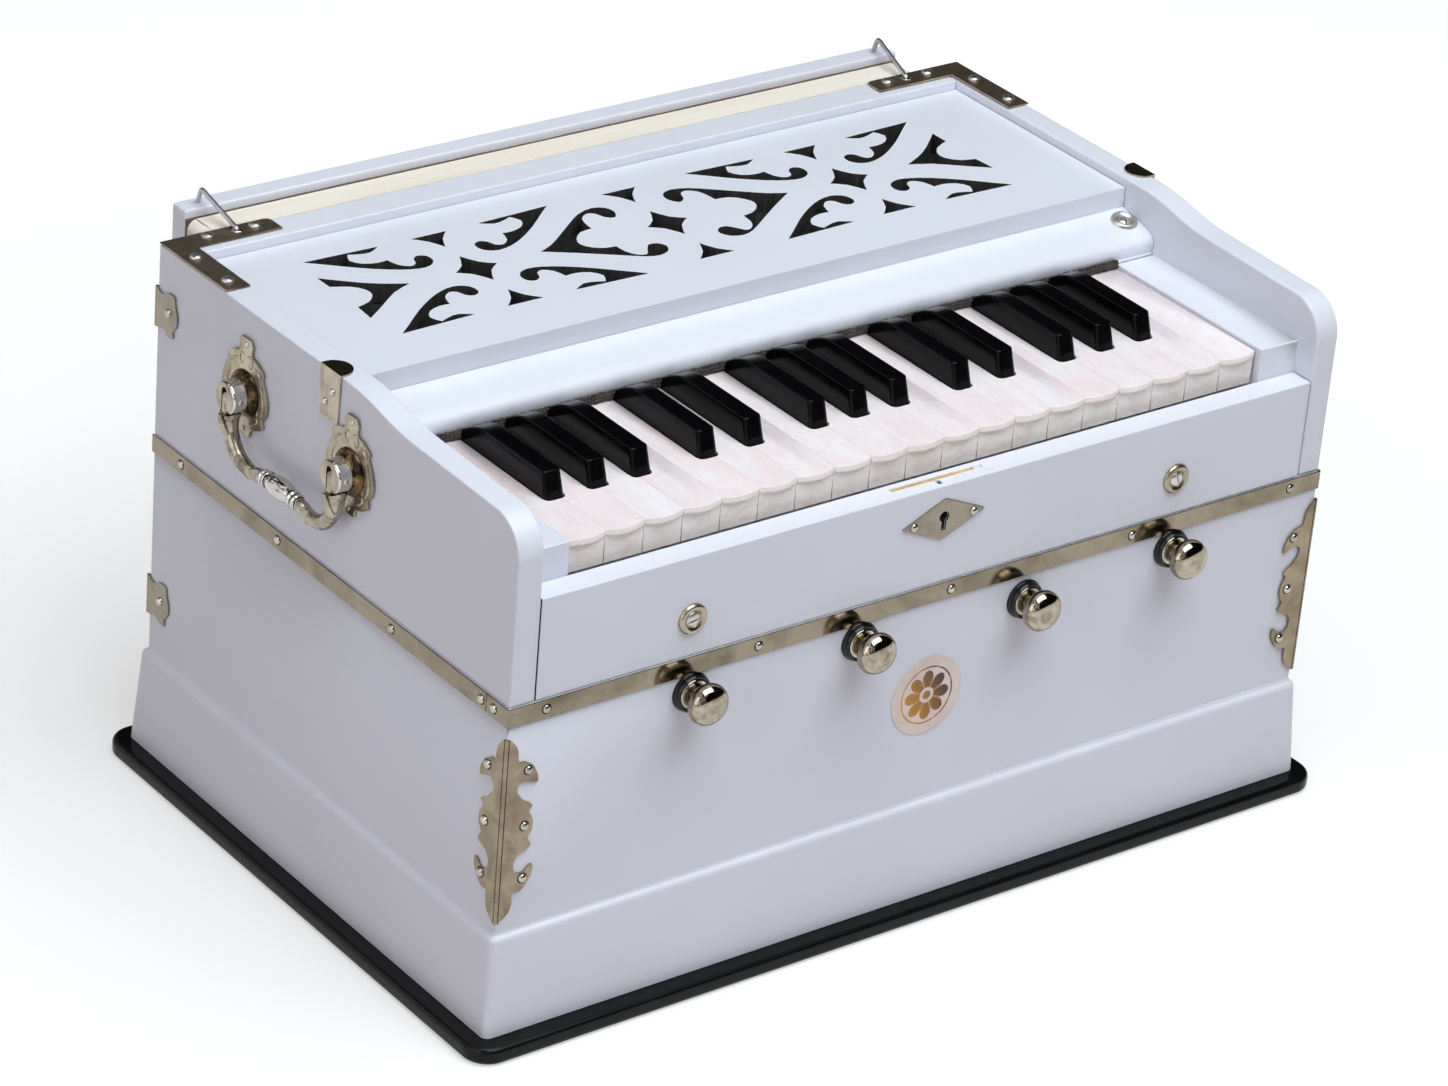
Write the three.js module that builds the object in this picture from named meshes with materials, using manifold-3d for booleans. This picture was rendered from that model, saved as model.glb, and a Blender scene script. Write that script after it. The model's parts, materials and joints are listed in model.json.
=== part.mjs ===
// A portable hand-pumped reed organ (Indian harmonium) with thirty-two keys, four drawstops,
// a fretwork sound board lid, drop handles and a hinged bellows at the back.
// Millimetres, +Z up. The origin is the centre of the base board's underside, and the player
// sits on the -Y side. A depth is measured back from the front face, a height up from the table.
import * as THREE from "three";
import { mergeVertices } from "three/addons/utils/BufferGeometryUtils.js";
import Module from "manifold-3d";

const wasm = await Module();
wasm.setup();

// Shared clearances
const seatGap = 0.3;
const overrun = 1;
const weldDepth = 0.6;

// Case
const caseWidth = 496;
const caseDepth = 310;
const cheekThickness = 14;
const rearWallThickness = 18;
const upperCaseHeight = 103;

// Base board
const baseThickness = 9;
const baseOverhang = 16;
const baseCornerRadius = 14;
const baseEdgeRound = 2.8;

// Lower case with its flared plinth
const lowerCaseHeight = 164.5;
const lowerWall = 12;
const deckThickness = 8;
const plinthHeight = 51.5;
const plinthFlare = 4;
const plinthLedge = 2.4;
const plinthRoundHeight = 3;
const plinthCornerRadius = 4;
const caseCornerRadius = 1.2;
const ledgeRoundShare = 0.75;

// Reed pan on the lower case
const panRise = 42.5;
const panThickness = 16;
const panWall = 10;
const balanceRailFoot = 14;
const balanceRailTop = 4.4;
const reedSlotWidth = 6;
const reedSlotLength = 40;

// Metal band round the joint of the two cases
const bandHeight = 9.5;
const bandThickness = 0.7;

// Cheeks
const noseRadius = 20;
const noseHeight = 94.5;
const slopeRise = 1.5;
const ogeeStart = 84;
const ogeeEnd = 144;
const ogeeSoftness = 26;
const ledgeWidth = 10;
const ledgeHeight = 12;

// Front panel, its lock and the end blocks beside the keys
const frontPanelThickness = 13.5;
const frontPanelHeight = 53.4;
const lockLength = 56;
const lockWidth = 8;
const lockSink = 1.6;
const lockSetback = 1.6;
const keyholeRadius = 2.2;
const keyholeSlotWidth = 2.2;
const keyholeSlotDrop = 6;
const keyholeDepth = 8;
const keyholeDropBelowTop = 16.6;
const endBlockWidth = 24.2;
const endBlockRise = 17.2;

// White keys, nineteen of them from F, shared out between the end blocks
const whiteKeyCount = 19;
const keyEndGap = 0.8;
const keyGap = 0.5;
const keyLip = 17.7;
const keyLipBulge = 2.7;
const keyFrontSetback = 0.6;
const keyCapThickness = 3;
const keyLeverThickness = 14.7;
const keyTopAbovePan = 26.2;
const keyCapEnd = 133;
const keyTailClearance = 30;
const lipSegments = 6;

// Black keys
const sharpFootWidth = 11.2;
const sharpTopWidth = 8.4;
const sharpHeight = 12.8;
const sharpFront = 53.2;
const sharpRear = 128.5;
const sharpFrontSlant = 6.3;
const sharpRearCurve = 25;
const sharpCornerChamfer = 1.3;
const sharpLeverWidth = 9.6;
const sharpNotchGap = 0.5;
const sharpNotchFrontGap = 1.6;
const sharpSplay = 2.8;

// Key balance and pallets
const balanceDepth = 150;
const palletLength = 52;
const palletWidth = 10.6;

// Cover rail over the key tails
const railFront = 126;
const railRear = 163;
const railUnderside = 70.6;
const railFaceHeight = 6;
const railNose = 5;
const railShoulderDepth = 14;
const railShoulderDrop = 3.2;
const railNoseDrop = 5.1;

// Fretwork lid
const lidFront = 151.5;
const lidThickness = 10.5;
const lidRecess = 5;
const lidSideGap = 0.6;
const fretFrontMargin = 30;
const fretRearMargin = 21.9;
const fretEndMargin = 42;
const fretSideShift = -4.5;

// Bellows at the back
const bellowsWidth = 444;
const bellowsBottom = 66;
const bellowsFrameDepth = 17;
const bellowsFrameBar = 22;
const bellowsCornerRadius = 6;
const bellowsBoardThickness = 11.5;
const bellowsBoardRise = 4;
const gasketThickness = 2.4;
const gasketWidth = 9;
const pleatSkin = 1.1;
const pleatDepth = 13;
const pleatCount = 4;

// Hooks that hold the bellows shut
const hookWireRadius = 1.1;
const hookFootInset = 39.7;
const hookLegDepth = 6;
const hookRise = 12.5;
const hookNeckRise = 2.4;
const hookTipReach = 4.2;
const hookTipGap = 0.5;
const hookHoleRadius = 1.5;
const hookLeanShare = 0.09;
const hookBendShares = [0.16, 0.5, 0.85];

// Corner plates on the top rim
const plateThickness = 1;
const plateSideLeg = 61;
const plateRearLeg = 62;
const plateSideSetback = 0.5;
const plateRearWidth = 13;
const plateEndRound = 4;

// Ornamental angle brackets on the front corners
const angleWidth = 19.5;
const angleHeight = 99.5;
const angleBottom = 68;
const angleThickness = 0.9;

// Drop handles
const handleDepth = 181.5;
const handleHeight = 242.5;
const handleSpan = 92;
const escutcheonHalfWidth = 20;
const escutcheonHalfHeight = 26;
const escutcheonThickness = 1.8;
const escutcheonRise = 3.5;
const collarRadius = 12.2;
const collarHeight = 3.4;
const bossRadius = 8.6;
const bossLength = 12.9;
const bossRound = 1.4;
const bailAxisOut = 8.8;
const bailEyeRadius = 3.8;
const bailEyeWidth = 4.2;
const bailEyeGap = 0.5;
const bossSlotHeadroom = 2.6;
const bailPinRadius = 1.5;
const bailDrop = 32;
const bailRadius = 3.7;
const bailNeckRadius = 4.7;
const bailBeadRadius = 6.4;

// Drawstops
const stopHeight = 164;
const stopSag = 4;
const stopKnobRadius = 10.7;
const stopKnobHalfDepth = 6.4;
const stopKnobOut = 14.4;
const stopNeckRadius = 5.3;
const stopRodRadius = 3;
const stopRodLength = 48;
const stopHoleGap = 1;

// Levels and planes that follow from the sizes above
const front = -caseDepth / 2;
const back = caseDepth / 2;
const side = caseWidth / 2;
const inner = side - cheekThickness;
const keyPitch = (2 * (inner - endBlockWidth - keyEndGap)) / whiteKeyCount;
const bandBottom = baseThickness + lowerCaseHeight;
const bandTop = bandBottom + bandHeight;
const rimTop = bandTop + upperCaseHeight;
const panTop = bandTop + panRise;
const plinthTop = baseThickness + plinthHeight;
const frontPanelTop = bandTop + frontPanelHeight;
const keyTop = panTop + keyTopAbovePan;
const leverBottom = keyTop - keyCapThickness - keyLeverThickness;
const balanceY = front + balanceDepth;
const lidTop = rimTop - lidRecess;
const lidBottom = lidTop - lidThickness;
const bellowsFrameRear = back + bellowsFrameDepth;
const bellowsTop = rimTop + bellowsBoardRise;
const boardFront = bellowsFrameRear + seatGap + gasketThickness;
const rearWallFront = back - rearWallThickness;
const leverEnd = rearWallFront - keyTailClearance;
const hookFootX = side - hookFootInset;
const hookFootY = back - plateRearWidth / 2;
const hookReach = boardFront + bellowsBoardThickness / 2 - hookTipReach - hookFootY;
const hookLean = hookReach * hookLeanShare;

// The keys run from F, and a black key stands after these with its splay from the joint
const octaveNames = ["f", "g", "a", "b", "c", "d", "e"];
const splayShares = { f: -1, g: 0, a: 1, c: -1, d: 1 };

// Places of the drawstops as shares of the case width
const stopPlaceShares = [-0.2915, -0.0907, 0.1155, 0.3042];
const sagShares = [0, 0, 1, 0];

// Finishes
const paint = { color: 0xe4e8f2, roughness: 0.45, metalness: 0 };
const blackGloss = { color: 0x0c0c0d, roughness: 0.25, metalness: 0 };
const pearl = { color: 0xf0dedd, roughness: 0.3, metalness: 0 };
const sharpBlack = { color: 0x141414, roughness: 0.35, metalness: 0 };
const nickel = { color: 0xb9b1a4, roughness: 0.3, metalness: 1 };
const brightNickel = { color: 0xd0cdc8, roughness: 0.12, metalness: 1 };
const pine = { color: 0xe6dcc8, roughness: 0.7, metalness: 0 };
const bellowsCloth = { color: 0x4a3a36, roughness: 0.85, metalness: 0 };

// A closed three.js geometry as a solid for joining and cutting
function toSolid(geometry) {
  const bare = geometry.clone();
  bare.deleteAttribute("normal");
  bare.deleteAttribute("uv");
  const merged = mergeVertices(bare);
  return new wasm.Manifold(
    new wasm.Mesh({
      numProp: 3,
      vertProperties: merged.attributes.position.array,
      triVerts: new Uint32Array(merged.index.array),
    }),
  );
}

function toGeometry(solid) {
  const mesh = solid.getMesh();
  const geometry = new THREE.BufferGeometry();
  geometry.setAttribute("position", new THREE.BufferAttribute(mesh.vertProperties, 3));
  geometry.setIndex(new THREE.BufferAttribute(mesh.triVerts, 1));
  geometry.computeVertexNormals();
  return geometry;
}

function joined(...geometries) {
  return toGeometry(geometries.map(toSolid).reduce((sum, next) => sum.add(next)));
}

function cut(geometry, ...tools) {
  return toGeometry(tools.map(toSolid).reduce((rest, tool) => rest.subtract(tool), toSolid(geometry)));
}

function block(x0, x1, y0, y1, z0, z1) {
  const geometry = new THREE.BoxGeometry(x1 - x0, y1 - y0, z1 - z0);
  return geometry.translate((x0 + x1) / 2, (y0 + y1) / 2, (z0 + z1) / 2);
}

function outline(points) {
  return new THREE.Shape(points.map(([u, v]) => new THREE.Vector2(u, v)));
}

function extruded(shape, depth, curveSegments = 8) {
  return new THREE.ExtrudeGeometry(shape, { depth, bevelEnabled: false, curveSegments });
}

// A plan outline in x and y, raised from z0 to z1
function raised(shape, z0, z1, curveSegments) {
  return extruded(shape, z1 - z0, curveSegments).translate(0, 0, z0);
}

// A side outline in y and z, run from x0 to x1
function runAcross(shape, x0, x1, curveSegments) {
  const turn = new THREE.Matrix4().makeBasis(
    new THREE.Vector3(0, 1, 0),
    new THREE.Vector3(0, 0, 1),
    new THREE.Vector3(1, 0, 0),
  );
  return extruded(shape, x1 - x0, curveSegments).applyMatrix4(turn).translate(x0, 0, 0);
}

// A front outline in x and z, run back from y0 to y1
function runBack(shape, y0, y1, curveSegments) {
  return extruded(shape, y1 - y0, curveSegments).rotateX(Math.PI / 2).translate(0, y1, 0);
}

// Closed rings of equal point counts, skinned one to the next and capped at both ends
function skinned(rings) {
  const count = rings[0].length;
  const positions = rings.flat().flatMap((p) => [p.x, p.y, p.z]);
  const faces = [];
  for (let r = 0; r + 1 < rings.length; r++) {
    for (let i = 0; i < count; i++) {
      const a = r * count + i;
      const b = r * count + ((i + 1) % count);
      faces.push(a, b, b + count, a, b + count, a + count);
    }
  }
  const last = (rings.length - 1) * count;
  for (let i = 1; i + 1 < count; i++) {
    faces.push(0, i + 1, i);
    faces.push(last, last + i, last + i + 1);
  }
  const geometry = new THREE.BufferGeometry();
  geometry.setAttribute("position", new THREE.Float32BufferAttribute(positions, 3));
  geometry.setIndex(faces);
  return geometry;
}

// A round bar along a curve, its radius a function of the share of the way along
function bar(curve, radiusAt, steps, sides) {
  const frames = curve.computeFrenetFrames(steps, false);
  const rings = [];
  for (let s = 0; s <= steps; s++) {
    const centre = curve.getPointAt(s / steps);
    const radius = radiusAt(s / steps);
    const ring = [];
    for (let i = 0; i < sides; i++) {
      const angle = (2 * Math.PI * i) / sides;
      const spoke = frames.normals[s].clone().multiplyScalar(Math.cos(angle) * radius);
      spoke.add(frames.binormals[s].clone().multiplyScalar(Math.sin(angle) * radius));
      ring.push(centre.clone().add(spoke));
    }
    rings.push(ring);
  }
  return skinned(rings);
}

function rod(radius, length, sides) {
  return new THREE.CylinderGeometry(radius, radius, length, sides);
}

const model = new THREE.Group();
const leftHand = new THREE.Group();
leftHand.scale.x = -1;
model.add(leftHand);

function addNode(name, geometry, finish, parent = model) {
  const mesh = new THREE.Mesh(geometry, new THREE.MeshStandardMaterial(finish));
  mesh.name = name;
  parent.add(mesh);
  return mesh;
}

// Adds a piece that is drawn for the right-hand side on both sides of the case
function addPair(name, geometry, finish) {
  addNode(name + "_right", geometry, finish);
  addNode(name + "_left", geometry.clone(), finish, leftHand);
}

function roundedRectangle(halfWidth, halfDepth, radius) {
  const shape = new THREE.Shape();
  shape.moveTo(halfWidth - radius, -halfDepth);
  shape.absarc(halfWidth - radius, radius - halfDepth, radius, -Math.PI / 2, 0);
  shape.absarc(halfWidth - radius, halfDepth - radius, radius, 0, Math.PI / 2);
  shape.absarc(radius - halfWidth, halfDepth - radius, radius, Math.PI / 2, Math.PI);
  shape.absarc(radius - halfWidth, radius - halfDepth, radius, Math.PI, Math.PI * 1.5);
  return shape;
}

function baseBoard() {
  const overhang = baseOverhang - baseEdgeRound;
  const shape = roundedRectangle(side + overhang, back + overhang, baseCornerRadius - baseEdgeRound);
  const edge = { bevelEnabled: true, bevelSize: baseEdgeRound, bevelThickness: baseEdgeRound };
  const depth = baseThickness - 2 * baseEdgeRound;
  const geometry = new THREE.ExtrudeGeometry(shape, { ...edge, depth, bevelSegments: 3, curveSegments: 3 });
  return geometry.translate(0, 0, baseEdgeRound);
}

function caseRing(proud, z, radius) {
  const shape = roundedRectangle(side + proud, back + proud, radius);
  return shape.getPoints(1).slice(1).map((p) => new THREE.Vector3(p.x, p.y, z));
}

function reedSlot(x) {
  const y = leverEnd - palletLength / 2;
  const halfLength = reedSlotLength / 2;
  const top = panTop + overrun;
  const bottom = panTop - panThickness - overrun;
  return block(x - reedSlotWidth / 2, x + reedSlotWidth / 2, y - halfLength, y + halfLength, bottom, top);
}

function balanceRail() {
  const foot = balanceRailFoot / 2;
  const crown = balanceRailTop / 2;
  const shape = outline([
    [balanceY - foot, panTop - weldDepth],
    [balanceY + foot, panTop - weldDepth],
    [balanceY + crown, leverBottom - seatGap],
    [balanceY - crown, leverBottom - seatGap],
  ]);
  const reach = inner - endBlockWidth;
  return runAcross(shape, -reach, reach);
}

function stopHole(place) {
  const hole = rod(stopRodRadius + stopHoleGap, 2 * lowerWall, 16);
  return hole.translate(place.x, front, place.z);
}

function lowerCase(stopPlaces, slotPlaces) {
  const foot = baseThickness + seatGap;
  const flare = plinthFlare + plinthLedge;
  const roundZ = plinthTop - plinthRoundHeight * (1 - ledgeRoundShare);
  const shell = skinned([
    caseRing(flare, foot, plinthCornerRadius),
    caseRing(plinthLedge, plinthTop - plinthRoundHeight, plinthCornerRadius),
    caseRing(plinthLedge * ledgeRoundShare, roundZ, plinthCornerRadius),
    caseRing(0, plinthTop, caseCornerRadius),
    caseRing(0, bandTop, caseCornerRadius),
  ]);
  const plugX = inner - seatGap;
  const plugFront = front + frontPanelThickness + seatGap;
  const plugBack = rearWallFront - seatGap;
  const plug = block(-plugX, plugX, plugFront, plugBack, bandTop - weldDepth, panTop);
  const wellX = plugX - panWall;
  const wellTop = panTop - panThickness;
  const well = block(-wellX, wellX, plugFront + panWall, plugBack - panWall, plinthTop, wellTop);
  const chestX = side - lowerWall;
  const chest = block(-chestX, chestX, front + lowerWall, back - lowerWall, 0, bandTop - deckThickness);
  return cut(
    joined(shell, plug, balanceRail()),
    well,
    chest,
    ...stopPlaces.map(stopHole),
    ...slotPlaces.map(reedSlot),
  );
}

// The band runs round the front and both sides, and ends at the back corners
function metalBand() {
  const nearX = side + seatGap;
  const farX = nearX + bandThickness;
  const nearY = front - seatGap;
  const farY = nearY - bandThickness;
  const shape = outline([
    [-farX, back], [-farX, farY], [farX, farY], [farX, back],
    [nearX, back], [nearX, nearY], [-nearX, nearY], [-nearX, back],
  ]);
  return raised(shape, bandBottom, bandTop);
}

function cheekOutline() {
  const foot = bandTop + seatGap;
  const crown = bandTop + noseHeight;
  const shape = new THREE.Shape();
  shape.moveTo(front, foot);
  shape.lineTo(back, foot);
  shape.lineTo(back, rimTop);
  shape.lineTo(front + ogeeEnd, rimTop);
  shape.bezierCurveTo(
    front + ogeeEnd - ogeeSoftness, rimTop,
    front + ogeeStart + ogeeSoftness, crown + slopeRise,
    front + ogeeStart, crown + slopeRise,
  );
  shape.lineTo(front + noseRadius, crown);
  shape.absarc(front + noseRadius, crown - noseRadius, noseRadius, Math.PI / 2, Math.PI);
  return shape;
}

// A right-hand cheek with the block beside the last key and the ledge that carries the lid
function cheek() {
  const wall = runAcross(cheekOutline(), inner, side);
  const blockFront = front + frontPanelThickness + seatGap;
  const blockTop = frontPanelTop + endBlockRise;
  const endBlock = block(
    inner - endBlockWidth, inner + weldDepth,
    blockFront, front + railFront - seatGap,
    panTop + seatGap, blockTop,
  );
  const ledgeTop = lidBottom - seatGap;
  const ledge = block(
    inner - ledgeWidth, inner + weldDepth,
    front + railRear + seatGap, rearWallFront - seatGap,
    ledgeTop - ledgeHeight, ledgeTop,
  );
  return joined(wall, endBlock, ledge);
}

function rearPanel() {
  const x = inner - seatGap;
  const foot = bandTop + seatGap;
  const wall = block(-x, x, rearWallFront, back, foot, rimTop);
  const holes = [-1, 1].map((hand) => {
    const hole = rod(hookHoleRadius, 2 * hookLegDepth + 2 * overrun, 10).rotateX(Math.PI / 2);
    return hole.translate(hand * hookFootX, hookFootY, rimTop);
  });
  return cut(wall, ...holes);
}

function frontPanel() {
  const x = inner - seatGap;
  const rear = front + frontPanelThickness;
  const wall = block(-x, x, front, rear, bandTop + seatGap, frontPanelTop);
  const lockFront = front + lockSetback;
  const halfLock = lockLength / 2;
  const sinkZ = frontPanelTop - lockSink;
  const lock = block(-halfLock, halfLock, lockFront, lockFront + lockWidth, sinkZ, frontPanelTop + overrun);
  const holeZ = frontPanelTop - keyholeDropBelowTop;
  const deep = front + keyholeDepth;
  const hole = rod(keyholeRadius, 2 * keyholeDepth, 12).translate(0, front, holeZ);
  const halfSlot = keyholeSlotWidth / 2;
  const slot = block(-halfSlot, halfSlot, front - overrun, deep, holeZ - keyholeSlotDrop, holeZ);
  return cut(wall, lock, hole, slot);
}

// Rail profile: flat under the lid, sloping forward over the shoulder to a rounded nose
function coverRail() {
  const foot = bandTop + railUnderside;
  const seat = lidBottom - seatGap;
  const nose = front + railFront;
  const shoulder = front + lidFront - railShoulderDepth;
  const shape = new THREE.Shape();
  shape.moveTo(nose + railNose / 2, foot);
  shape.lineTo(front + railRear, foot);
  shape.lineTo(front + railRear, seat);
  shape.lineTo(front + lidFront, seat);
  shape.lineTo(shoulder, seat - railShoulderDrop);
  shape.quadraticCurveTo(nose, seat - railNoseDrop, nose, foot + railFaceHeight);
  shape.quadraticCurveTo(nose, foot, nose + railNose / 2, foot);
  const x = inner - seatGap;
  return runAcross(shape, -x, x);
}

// Fretwork openings as runs of points between cusps: x as a share of the star pitch from the
// star's middle, y as a share of the fretwork's height. Each run is drawn as one smooth curve.
const scrollShares = [
  [[0.628, 0.5], [0.257, 0.483]],
  [[0.257, 0.483], [0.319, 0.438], [0.375, 0.45], [0.416, 0.472]],
  [[0.416, 0.472], [0.442, 0.403], [0.407, 0.335], [0.345, 0.307], [0.296, 0.312]],
  [
    [0.296, 0.312], [0.279, 0.233], [0.239, 0.188], [0.204, 0.205], [0.19, 0.256],
    [0.159, 0.284], [0.124, 0.261], [0.119, 0.205], [0.142, 0.159], [0.19, 0.136],
    [0.257, 0.153], [0.345, 0.21], [0.451, 0.307], [0.549, 0.415], [0.628, 0.5],
  ],
];
const bracketShares = [
  [
    [0.664, 0.011], [0.584, 0.057], [0.487, 0.148], [0.389, 0.244], [0.301, 0.324],
    [0.212, 0.358], [0.155, 0.324], [0.142, 0.256], [0.173, 0.193], [0.212, 0.222],
    [0.23, 0.284], [0.265, 0.307], [0.31, 0.267], [0.327, 0.199], [0.332, 0.131],
  ],
  [
    [0.332, 0.131], [0.398, 0.119], [0.451, 0.057], [0.469, -0.011], [0.442, -0.074],
    [0.394, -0.114], [0.341, -0.125],
  ],
  [
    [0.341, -0.125], [0.336, -0.205], [0.31, -0.267], [0.27, -0.292], [0.243, -0.25],
    [0.208, -0.193], [0.164, -0.199], [0.142, -0.25], [0.168, -0.312], [0.226, -0.335],
    [0.292, -0.307], [0.389, -0.222], [0.531, -0.097], [0.664, 0.011],
  ],
];
const endShares = [
  [[0.336, 0.006], [0.434, 0.068], [0.531, 0.153], [0.655, 0.295]],
  [[0.655, 0.295], [0.655, 0.17]],
  [[0.655, 0.17], [0.575, 0.119], [0.535, 0.051], [0.535, -0.017], [0.584, -0.085], [0.655, -0.114]],
  [[0.655, -0.114], [0.664, -0.261]],
  [[0.664, -0.261], [0.566, -0.17], [0.442, -0.051], [0.336, 0.006]],
];
const starShares = [
  [[0.106, 0], [0.045, 0.06], [0, 0.17]],
  [[0, 0.17], [-0.045, 0.06], [-0.106, 0]],
  [[-0.106, 0], [-0.045, -0.06], [0, -0.17]],
  [[0, -0.17], [0.045, -0.06], [0.106, 0]],
];
const dartShares = [
  [[0.091, 0.481], [-0.091, 0.481]],
  [[-0.091, 0.481], [-0.035, 0.405], [0, 0.307]],
  [[0, 0.307], [0.035, 0.405], [0.091, 0.481]],
];
const fretSegments = 2;
const fretReachShare = 1.664;
const lidHalfWidth = inner - lidSideGap;
const lidNear = front + lidFront;
const lidFar = rearWallFront - lidSideGap;
const fretHeight = lidFar - lidNear - fretFrontMargin - fretRearMargin;
const fretCentreY = lidNear + fretFrontMargin + fretHeight / 2;
const starPitch = (lidHalfWidth - fretEndMargin) / fretReachShare;

// One opening, turned about the star at starX: flips of -1 mirror it left to right or front to back
function fretOpening(runs, starX, flipX = 1, flipY = 1) {
  const points = runs.flatMap((run) => {
    const places = run.map(([u, v]) => new THREE.Vector2(
      starX + flipX * u * starPitch,
      fretCentreY + flipY * v * fretHeight,
    ));
    const pieces = places.length > 2 ? fretSegments * (places.length - 1) : 1;
    return new THREE.SplineCurve(places).getPoints(pieces).slice(1);
  });
  return new THREE.Path(points);
}

function fretwork() {
  const openings = [];
  for (const star of [-1, 0, 1]) {
    const starX = fretSideShift + star * starPitch;
    openings.push(fretOpening(starShares, starX));
    openings.push(fretOpening(dartShares, starX, 1, 1), fretOpening(dartShares, starX, 1, -1));
    if (star === 0) {
      openings.push(fretOpening(bracketShares, starX, 1), fretOpening(bracketShares, starX, -1));
      continue;
    }
    openings.push(fretOpening(endShares, starX, star));
    for (const flipX of [-1, 1]) {
      for (const flipY of [-1, 1]) {
        openings.push(fretOpening(scrollShares, starX, flipX, flipY));
      }
    }
  }
  return openings;
}

function lid() {
  const x = lidHalfWidth;
  const shape = outline([[-x, lidNear], [x, lidNear], [x, lidFar], [-x, lidFar]]);
  shape.holes = fretwork();
  return raised(shape, lidBottom, lidTop);
}

// Where the black keys stand: after which white key, and how far the joint lies from their middle
function blackKeys() {
  const found = [];
  for (let i = 0; i + 1 < whiteKeyCount; i++) {
    const name = octaveNames[i % octaveNames.length];
    if (name in splayShares) {
      found.push({ after: i, name, x: jointX(i) + splayShares[name] * sharpSplay });
    }
  }
  return found;
}

function jointX(i) {
  return keyPitch * (i + 1 - whiteKeyCount / 2);
}

// How much of a white key's tail a black key takes on one side
function notchDepth(joint, sharp) {
  const reach = sharpFootWidth / 2 + sharpNotchGap;
  return sharp ? reach + joint * (sharp.x - jointX(sharp.after)) : keyGap / 2;
}

// A white key about the middle of its balance point, with its cap, lever and pallet
function whiteKey(leftSharp, rightSharp) {
  const half = (keyPitch - keyGap) / 2;
  const left = notchDepth(1, leftSharp) - keyPitch / 2;
  const right = keyPitch / 2 - notchDepth(-1, rightSharp);
  const lip = keyLip - balanceDepth;
  const notch = sharpFront - sharpNotchFrontGap - balanceDepth;
  const scallop = [];
  for (let i = 0; i <= lipSegments; i++) {
    const share = (2 * i) / lipSegments - 1;
    scallop.push([share * half, lip - keyLipBulge * (1 - share * share)]);
  }
  const tail = keyCapEnd - balanceDepth;
  const planFrom = (head) => outline([
    ...head,
    [half, notch], [right, notch], [right, tail],
    [left, tail], [left, notch], [-half, notch],
  ]);
  const capTop = keyTop - leverBottom;
  const cap = raised(planFrom(scallop), keyLeverThickness, capTop);
  const face = lip + keyFrontSetback;
  const head = raised(planFrom([[-half, face], [half, face]]), 0, keyLeverThickness + weldDepth);
  return joined(cap, head, keyTail(left, right));
}

// The lever behind the cap, from its balance point's own frame, with the pallet under its end
function keyTail(left, right) {
  const end = leverEnd - balanceY;
  const start = keyCapEnd - balanceDepth - overrun;
  const lever = block(left, right, start, end, 0, keyLeverThickness);
  const middle = (left + right) / 2;
  const halfPallet = Math.min(palletWidth, right - left) / 2;
  const drop = leverBottom - panTop - seatGap;
  const pallet = block(middle - halfPallet, middle + halfPallet, end - palletLength, end, -drop, weldDepth);
  return joined(lever, pallet);
}

// A ring of the black key's section at one depth: tapered sides with cut top corners
function sharpRing(y, height) {
  const foot = sharpFootWidth / 2;
  const taper = (sharpFootWidth - sharpTopWidth) / 2 / sharpHeight;
  const chamfer = Math.min(sharpCornerChamfer, height / 2);
  const bottom = keyTop - leverBottom - weldDepth;
  const top = keyTop - leverBottom + height;
  const shoulder = foot - taper * (height - chamfer);
  const crown = foot - taper * height - chamfer;
  return [
    [-foot, bottom], [foot, bottom], [shoulder, top - chamfer],
    [crown, top], [-crown, top], [-shoulder, top - chamfer],
  ].map(([x, z]) => new THREE.Vector3(x, y, z));
}

// Height shares of the black key along its slanted front and its curved rear
const slantShares = [[0, 0.08], [0.84, 0.9], [1, 0.97], [1.3, 1]];
const rearCurveShares = [[1, 1], [0.72, 0.94], [0.45, 0.74], [0.2, 0.42], [0, 0.1]];

function blackKey() {
  const near = sharpFront - balanceDepth;
  const far = sharpRear - balanceDepth;
  const rings = [
    ...slantShares.map(([u, h]) => sharpRing(near + u * sharpFrontSlant, h * sharpHeight)),
    ...rearCurveShares.map(([u, h]) => sharpRing(far - u * sharpRearCurve, h * sharpHeight)),
  ];
  const half = sharpLeverWidth / 2;
  const leverTop = keyTop - leverBottom - weldDepth / 2;
  const lever = block(-half, half, near + sharpNotchFrontGap, far, 0, leverTop);
  const tail = block(-half, half, far - overrun, leverEnd - balanceY, 0, keyLeverThickness);
  const drop = leverBottom - panTop - seatGap;
  const end = leverEnd - balanceY;
  const pallet = block(-half, half, end - palletLength, end, -drop, weldDepth);
  return joined(skinned(rings.reverse()), lever, tail, pallet);
}

function addKeys() {
  const sharps = blackKeys();
  const places = [];
  const counts = {};
  const numbered = (name) => {
    counts[name] = (counts[name] ?? 0) + 1;
    return name + "_" + counts[name];
  };
  for (let i = 0; i < whiteKeyCount; i++) {
    const leftSharp = sharps.find((s) => s.after === i - 1);
    const rightSharp = sharps.find((s) => s.after === i);
    const x = jointX(i) - keyPitch / 2;
    const name = numbered("key_" + octaveNames[i % octaveNames.length]);
    addNode(name, whiteKey(leftSharp, rightSharp), pearl).position.set(x, balanceY, leverBottom);
    const left = notchDepth(1, leftSharp);
    const right = notchDepth(-1, rightSharp);
    places.push(x + (left - right) / 2);
  }
  for (const sharp of sharps) {
    const name = numbered("key_" + sharp.name + "_sharp");
    addNode(name, blackKey(), sharpBlack).position.set(sharp.x, balanceY, leverBottom);
    places.push(sharp.x);
  }
  return places;
}

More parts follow.
